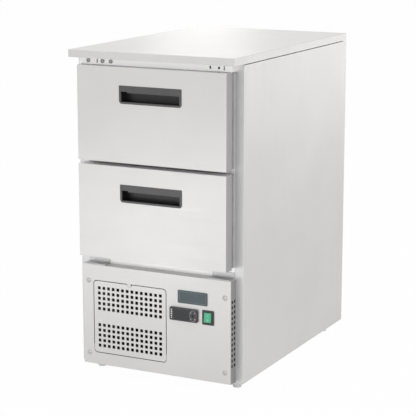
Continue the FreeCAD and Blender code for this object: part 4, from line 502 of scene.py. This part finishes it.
def print_ink(name, colour):
    return moulded_plastic(name, colour, 0.5, grain=PRINT_GRAIN, depth=0.01 * MM)


def plate_enamel(name, colour):
    return moulded_plastic(name, colour, 0.34, grain=PRINT_GRAIN, depth=0.02 * MM)


def pull_plastic(name, colour, roughness, pocket_front):
    """Moulded pull with a fine grain, with painted shade darkening its pocket."""
    surface = moulded_surface(name, colour, roughness)
    # Painted shade: darker inside the pocket
    surface.darken(surface.beyond("y", pocket_front), POCKET_PAINTED_SHADE)
    return surface.material


def small_plastic(name, colour, roughness, patches, amount):
    """Moulded plastic of one gloss, with colour patches of a chosen scale."""
    surface = Surface(name, colour, roughness)
    surface.shade(surface.noise(patches), amount)
    surface.bump(surface.noise(PLASTIC_GRAIN, detail=2.0), distance=0.03 * MM, strength=0.5)
    return surface


def plug_plastic(name, colour, groove_front):
    """Snap-in plugs, darkened by painted shade behind their front face, in the groove and rim."""
    surface = small_plastic(name, colour, 0.45, patches=120.0, amount=0.06)
    # Painted shade: darker behind the front face
    surface.darken(surface.beyond("y", groove_front, ramp=0.2 * MM), GROOVE_PAINTED_SHADE)
    return surface.material


def key_plastic(name, colour, centre):
    """Keys of the oval pad, with the dark disc that is printed across their middle."""
    surface = small_plastic(name, colour, 0.40, patches=60.0, amount=0.08)
    surface.darken(surface.near(centre, KEY_DISC_RADIUS), KEY_DISC_SHARE)
    return surface.material


def foam(name, colour):
    surface = Surface(name, colour, 0.9)
    cells = surface.voronoi(900.0).outputs["Distance"]
    surface.shade(surface.noise(18.0), amount=0.10)
    surface.bump(cells, distance=0.3 * MM, strength=0.6)
    return surface.material


def wood_board(name, colour):
    """Chipboard with a grey sealing film on both faces."""
    surface = Surface(name, colour, 0.75)
    fibres = surface.noise(1.0, (260.0, 40.0, 260.0), detail=6.0)
    surface.shade(fibres, amount=0.22, tint=(1.0, 0.96, 0.9))
    surface.cover(surface.facing("z"), SEALED)
    surface.bump(fibres, distance=0.2 * MM, strength=0.5)
    return surface.material


def fin_aluminium(name, colour):
    surface = Surface(name, colour, 0.35, metallic=0.9)
    surface.shade(surface.noise(80.0), amount=0.08)
    surface.bump(surface.noise(1.0, (40.0, 900.0, 900.0)), distance=0.1 * MM, strength=0.5)
    return surface.material


def glossy_lens(name, colour, roughness, coat):
    surface = Surface(name, colour, roughness)
    surface.shader.inputs["Coat Weight"].default_value = coat
    surface.shade(surface.noise(12.0), amount=0.06)
    surface.rough(surface.noise(300.0), amount=0.02)
    return surface.material


def lit_lens(name, colour, roughness, coat, glow):
    """Green moulded lens with a neon lamp behind it."""
    surface = Surface(name, colour, roughness)
    surface.shader.inputs["Coat Weight"].default_value = coat
    surface.shader.inputs["Emission Color"].default_value = rgba(colour)
    surface.shader.inputs["Emission Strength"].default_value = glow
    surface.shade(surface.noise(90.0), amount=0.10)
    surface.bump(surface.noise(1.0, (20.0, 900.0, 900.0)), distance=0.05 * MM, strength=0.3)
    return surface.material


def box_round(*nodes):
    """Lowest and highest corners of the box round these CAD nodes."""
    corners = [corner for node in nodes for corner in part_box(node)]
    low = Vector([min(corner[i] for corner in corners) for i in range(3)])
    high = Vector([max(corner[i] for corner in corners) for i in range(3)])
    return low, high


def middle(*nodes):
    low, high = box_round(*nodes)
    return (low + high) / 2


KEYS = ("key_up", "key_set", "key_down", "key_standby")
KEYPAD_CENTRE = middle(*KEYS)
KEY_DISC_CENTRE = (KEYPAD_CENTRE.x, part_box("key_up")[0].y, KEYPAD_CENTRE.z)
POCKET_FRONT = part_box("drawer_handle_upper")[0].y + POCKET_START
GROOVE_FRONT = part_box("rail_plugs")[0].y + GROOVE_START
PANEL_LOW, PANEL_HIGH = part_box("lower_panel")

MATERIALS = {
    "steel_x": brushed_steel("steel_brushed_across", STEEL, STEEL_ROUGHNESS, "x"),
    "steel_side": side_sheet("steel_sides", PANEL_HIGH),
    "steel_front": drawer_front("steel_fronts"),
    "steel_panel": panel_front("steel_lower_panel", PANEL_LOW, PANEL_HIGH),
    # The frame and the rail wear the pale steel as painted light
    "frame": brushed_steel("steel_frame", PAINTED_LIGHT_STEEL, PALE_ROUGHNESS, "z"),
    "rail": brushed_steel("steel_rail", PAINTED_LIGHT_STEEL, PALE_ROUGHNESS, "x"),
    "liner": brushed_steel("steel_liner", (0.60, 0.60, 0.60), 0.36, "y"),
    "zinc": galvanised_steel("galvanised_sheet", (0.50, 0.51, 0.52), 0.45),
    "plated": plated_steel("plated_steel", (0.58, 0.58, 0.59), 0.30),
    "bracket": plated_steel("bracket_steel", (0.50, 0.50, 0.50), 0.42),
    "dome": dome_steel("dome_steel", (0.58, 0.58, 0.57), 0.62),
    "slide": plated_steel("slide_steel", (0.52, 0.53, 0.55), 0.34),
    "foam": foam("insulation_foam", (0.76, 0.64, 0.38)),
    "board": wood_board("stiffening_board", (0.55, 0.40, 0.24)),
    "black": moulded_plastic("black_plastic", (0.030, 0.030, 0.032), 0.42),
    "pull": pull_plastic("pull_plastic", (0.074, 0.072, 0.073), 0.40, POCKET_FRONT),
    "plug": plug_plastic("plug_plastic", (0.52, 0.52, 0.51), GROOVE_FRONT),
    "grey": moulded_plastic("grey_plastic", (0.80, 0.79, 0.79), 0.45),
    "key": key_plastic("key_plastic", (0.060, 0.061, 0.063), KEY_DISC_CENTRE),
    "lens": glossy_lens("display_lens", (0.012, 0.013, 0.015), 0.18, coat=0.3),
    "green": lit_lens("green_lens", (0.055, 0.40, 0.215), 0.28, coat=0.2, glow=0.05),
    "plate": plate_enamel("plate_enamel", (0.064, 0.092, 0.098)),
    "plate_line": plate_enamel("plate_line", (0.20, 0.25, 0.27)),
    "seal": moulded_plastic("seal_rubber", (0.40, 0.40, 0.40), 0.62, grain=900.0, depth=0.05 * MM),
    "rubber": moulded_plastic("mount_rubber", (0.02, 0.02, 0.02), 0.7, grain=900.0, depth=0.06 * MM),
    "copper": plated_steel("copper_pipe", (0.70, 0.34, 0.21), 0.30),
    "fins": fin_aluminium("fin_aluminium", (0.60, 0.61, 0.62)),
    # Condenser fins: black lacquer, kept near-black as painted shade so that the vents look dark
    "lacquer_and_shade_fins": fin_aluminium("lacquer_and_shade_fins", (0.035, 0.035, 0.036)),
    "enamel": moulded_plastic("black_enamel", (0.015, 0.015, 0.016), 0.30, grain=700.0),
    "white": moulded_plastic("white_plastic", (0.74, 0.74, 0.72), 0.5),
    "mark": print_ink("pale_print", (0.86, 0.87, 0.87)),
    "pad_line": print_ink("grey_print", (0.36, 0.37, 0.38)),
    "green_mark": print_ink("pale_green_print", (0.42, 0.70, 0.56)),
}

# Which CAD nodes wear each material
NODE_MATERIALS = {
    "steel_x": ("worktop", "centre_mullion", "grille_cover"),
    "steel_side": ("left_side_panel", "right_side_panel"),
    "steel_panel": ("lower_panel",),
    "frame": ("front_frame",),
    "rail": ("top_rail",),
    "liner": ("inner_liner", "evaporator_cover"),
    "zinc": ("rear_panel", "foam_cover_sheets", "base_tray"),
    "plated": ("grille_hinge_pins",),
    "bracket": ("hinge_brackets",),
    "dome": ("dome_screws",),
    "slide": ("slide_outer_members",),
    "foam": ("insulation",),
    "board": ("worktop_board",),
    "black": ("controller_housing", "switch_bezel", "cable_gland", "condenser_fan", "evaporator_fan"),
    "plug": ("rail_plugs",),
    "grey": ("foot_front_left", "foot_front_right", "foot_back_left", "foot_back_right"),
    "key": KEYS,
    "lens": ("controller_lens",),
    "green": ("switch_rocker",),
    "plate": ("name_plate",),
    "rubber": ("compressor_mounts",),
    "copper": ("refrigerant_pipes",),
    "fins": ("evaporator",),
    "lacquer_and_shade_fins": ("condenser",),
    "enamel": ("compressor", "fan_shroud", "fan_motors"),
    "white": ("drain_and_pan",),
}

# What each node of a drawer wears
DRAWER_LEVELS = ("lower", "upper")
DRAWER_MATERIALS = {
    "drawer_skin": "steel_front",
    "drawer_foam": "foam",
    "drawer_back": "liner",
    "drawer_handle": "pull",
    "drawer_gasket": "seal",
    "drawer_frame": "liner",
    "slide_middle": "slide",
    "slide_inner": "slide",
}


def dress_nodes():
    worn = {node: material for material, nodes in NODE_MATERIALS.items() for node in nodes}
    for level in DRAWER_LEVELS:
        for part, material in DRAWER_MATERIALS.items():
            worn[part + "_" + level] = material
    for name, node in NODES.items():
        node.data.materials.clear()
        node.data.materials.append(MATERIALS[worn[name]])


def seat(node, x, z, side):
    """The point and outward direction where a line along y meets this node, from the front or back."""
    start = Vector((x, side, z))
    found, point, normal, _ = NODES[node].ray_cast(start, Vector((0.0, -side, 0.0)))
    assert found, node
    return point, normal


def bar(size, turn=0.0, centre=(0.0, 0.0)):
    """Corners of a rectangle, turned by some degrees about its centre."""
    cosine, sine = math.cos(math.radians(turn)), math.sin(math.radians(turn))
    corners = []
    for u, v in ((-1, -1), (1, -1), (1, 1), (-1, 1)):
        across, up = u * size[0] / 2, v * size[1] / 2
        corners.append((centre[0] + across * cosine - up * sine, centre[1] + across * sine + up * cosine))
    return corners


def triangle(half_width, drop, rise):
    return [(-half_width, -drop), (half_width, -drop), (0.0, rise)]


def round_points(radius, steps):
    turns = [2 * math.pi * i / steps for i in range(steps)]
    return [(radius * math.cos(turn), radius * math.sin(turn)) for turn in turns]


def ring(outer, inner, steps=RING_STEPS):
    """Four-sided pieces that make a flat ring."""
    outside, inside = round_points(outer, steps), round_points(inner, steps)
    pieces = []
    for i in range(steps):
        after = (i + 1) % steps
        pieces.append([outside[i], outside[after], inside[after], inside[i]])
    return pieces


def frame_line(width, height, line):
    """Four bars that make a thin rectangle."""
    pieces = [bar((width, line), centre=(0.0, side * (height - line) / 2)) for side in (-1, 1)]
    pieces += [bar((line, height - 2 * line), centre=(side * (width - line) / 2, 0.0)) for side in (-1, 1)]
    return pieces


def raise_shapes(vertices, faces, shapes, point, normal, thickness):
    """Add flat shapes of this thickness, standing on a face."""
    up = Vector((0.0, 0.0, 1.0))
    across = up.cross(normal).normalized()
    rise = normal.cross(across)
    for shape in shapes:
        first = len(vertices)
        count = len(shape)
        for height in (-thickness, thickness):
            for u, v in shape:
                vertices.append(point + across * u + rise * v + normal * height)
        faces.append([first + i for i in reversed(range(count))])
        faces.append([first + count + i for i in range(count)])
        for i in range(count):
            after = (i + 1) % count
            faces.append([first + i, first + after, first + count + after, first + count + i])


def new_piece(name, vertices, faces, material, body):
    mesh = bpy.data.meshes.new(name)
    mesh.from_pydata(vertices, [], faces)
    mesh.materials.append(MATERIALS[material])
    piece = place(bpy.data.objects.new(name, mesh))
    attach(piece, body)


def add_print(name, shapes, point, normal, material, body, slot):
    """Printed shapes that stand a hair proud of a face."""
    vertices, faces = [], []
    raise_shapes(vertices, faces, shapes, point, normal, PRINT_THICKNESS)
    new_piece(name, vertices, faces, material, body)


def add_mark(name, node, x, z, shapes, material, body):
    """A printed sign on the front of a node."""
    add_print("mark_" + name, shapes, *seat(node, x, z, FRONT), material, body, "white_plastic")


def add_controller_marks():
    """A column of small signs at the left of the display: cold, fan, defrost, warning and a dot."""
    low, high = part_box("controller_housing")
    lens_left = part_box("controller_lens")[0].x
    x = (low.x + lens_left) / 2
    middle_z = (low.z + high.z) / 2
    signs = {
        "cold": [bar(STAR_ARM, turn) for turn in STAR_TURNS],
        "fan": [bar(FAN_BLADE, turn) for turn in FAN_TURNS],
        "defrost": [bar(DROP, centre=(side * DROP_PITCH, 0.0)) for side in (-1, 0, 1)],
        "warning": [triangle(*WARNING)],
        "power": [round_points(DOT_RADIUS, DOT_STEPS)],
    }
    halfway = len(signs) // 2
    for i, (sign, shapes) in enumerate(signs.items()):
        z = middle_z + (halfway - i) * MARK_PITCH
        add_mark(sign, "controller_housing", x, z, shapes, "mark", "cabinet")


def add_keypad_line():
    """A thin line round the oval pad."""
    low, high = box_round(*KEYS)
    half_width = (high.x - low.x) / 2 + KEYPAD_LINE_REACH
    half_height = (high.z - low.z) / 2 + KEYPAD_LINE_REACH
    oval = []
    for piece in ring(1.0, 1.0 - KEYPAD_LINE_SHARE, KEYPAD_LINE_STEPS):
        oval.append([(u * half_width, v * half_height) for u, v in piece])
    edge, normal = seat("controller_housing", KEYPAD_CENTRE.x + half_width, KEYPAD_CENTRE.z, FRONT)
    point = Vector((KEYPAD_CENTRE.x, edge.y, KEYPAD_CENTRE.z))
    add_print("keypad_line", oval, point, normal, "pad_line", "cabinet", "white_plastic")


def add_key_marks():
    """One sign on each quarter of the keypad."""
    arrow = triangle(*KEY_ARROW)
    plus = [bar((KEY_PLUS_LENGTH, KEY_PLUS_WIDTH)), bar((KEY_PLUS_WIDTH, KEY_PLUS_LENGTH))]
    signs = {
        "key_up": [arrow],
        "key_down": [[(-u, -v) for u, v in arrow]],
        "key_set": plus,
        "key_standby": ring(*KEY_RING),
    }
    for key, shapes in signs.items():
        centre = middle(key)
        spot = centre + (centre - KEYPAD_CENTRE) * KEY_MARK_SHIFT
        add_mark(key, key, spot.x, spot.z, shapes, "mark", key)


def add_rocker_marks():
    low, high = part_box("switch_rocker")
    x = (low.x + high.x) / 2
    middle_z = (low.z + high.z) / 2
    quarter = (high.z - low.z) / 4
    signs = {"on": (quarter, [bar(ROCKER_LINE)]), "off": (-quarter, ring(*ROCKER_RING))}
    for sign, (rise, shapes) in signs.items():
        z = middle_z + rise
        add_mark("switch_" + sign, "switch_rocker", x, z, shapes, "green_mark", "switch_rocker")


def add_plate_line():
    """The thin painted line inside the name plate's raised rim."""
    low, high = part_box("name_plate")
    width = high.x - low.x - 2 * PLATE_LINE_INSET
    height = high.z - low.z - 2 * PLATE_LINE_INSET
    point, normal = seat("name_plate", (low.x + high.x) / 2, (low.z + high.z) / 2, FRONT)
    shapes = frame_line(width, height, PLATE_LINE)
    add_print("name_plate_line", shapes, point, normal, "plate_line", "cabinet", "plate")


def add_rear_screws():
    """Pan-head screws along the two upright edges of the rear panel."""
    low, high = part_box("rear_panel")
    pitch = (high.z - low.z - 2 * REAR_SCREW_INSET) / (REAR_SCREW_ROWS - 1)
    cross_height = SCREW_HEAD[-1][1] + PRINT_THICKNESS
    heads, head_faces = [], []
    slots, slot_faces = [], []
    for side in (-1, 1):
        x = (low.x + high.x) / 2 + side * ((high.x - low.x) / 2 - REAR_SCREW_INSET)
        for i in range(REAR_SCREW_ROWS):
            point, normal = seat("rear_panel", x, low.z + REAR_SCREW_INSET + i * pitch, BACK)
            for radius, height in SCREW_HEAD:
                step = [round_points(radius, SCREW_HEAD_STEPS)]
                raise_shapes(heads, head_faces, step, point, normal, height)
            turn = REAR_SCREW_TURN * i
            # The cross slot is a black cross raised on the head: painted shade of a recessed slot
            cross = [bar(SCREW_CROSS, turn), bar(SCREW_CROSS, turn + 90.0)]
            raise_shapes(slots, slot_faces, cross, point, normal, cross_height)
    new_piece("rear_screws", heads, head_faces, "plated", "cabinet")
    # Painted shade of the cross slots
    new_piece("rear_screw_slot_shade", slots, slot_faces, "black", "cabinet")


bpy.context.scene.view_settings.view_transform = "Standard"
make_camera()
make_lights()
make_world()
make_floor()
dress_nodes()
bpy.context.view_layer.update()
add_controller_marks()
add_keypad_line()
add_key_marks()
add_rocker_marks()
add_plate_line()
add_rear_screws()
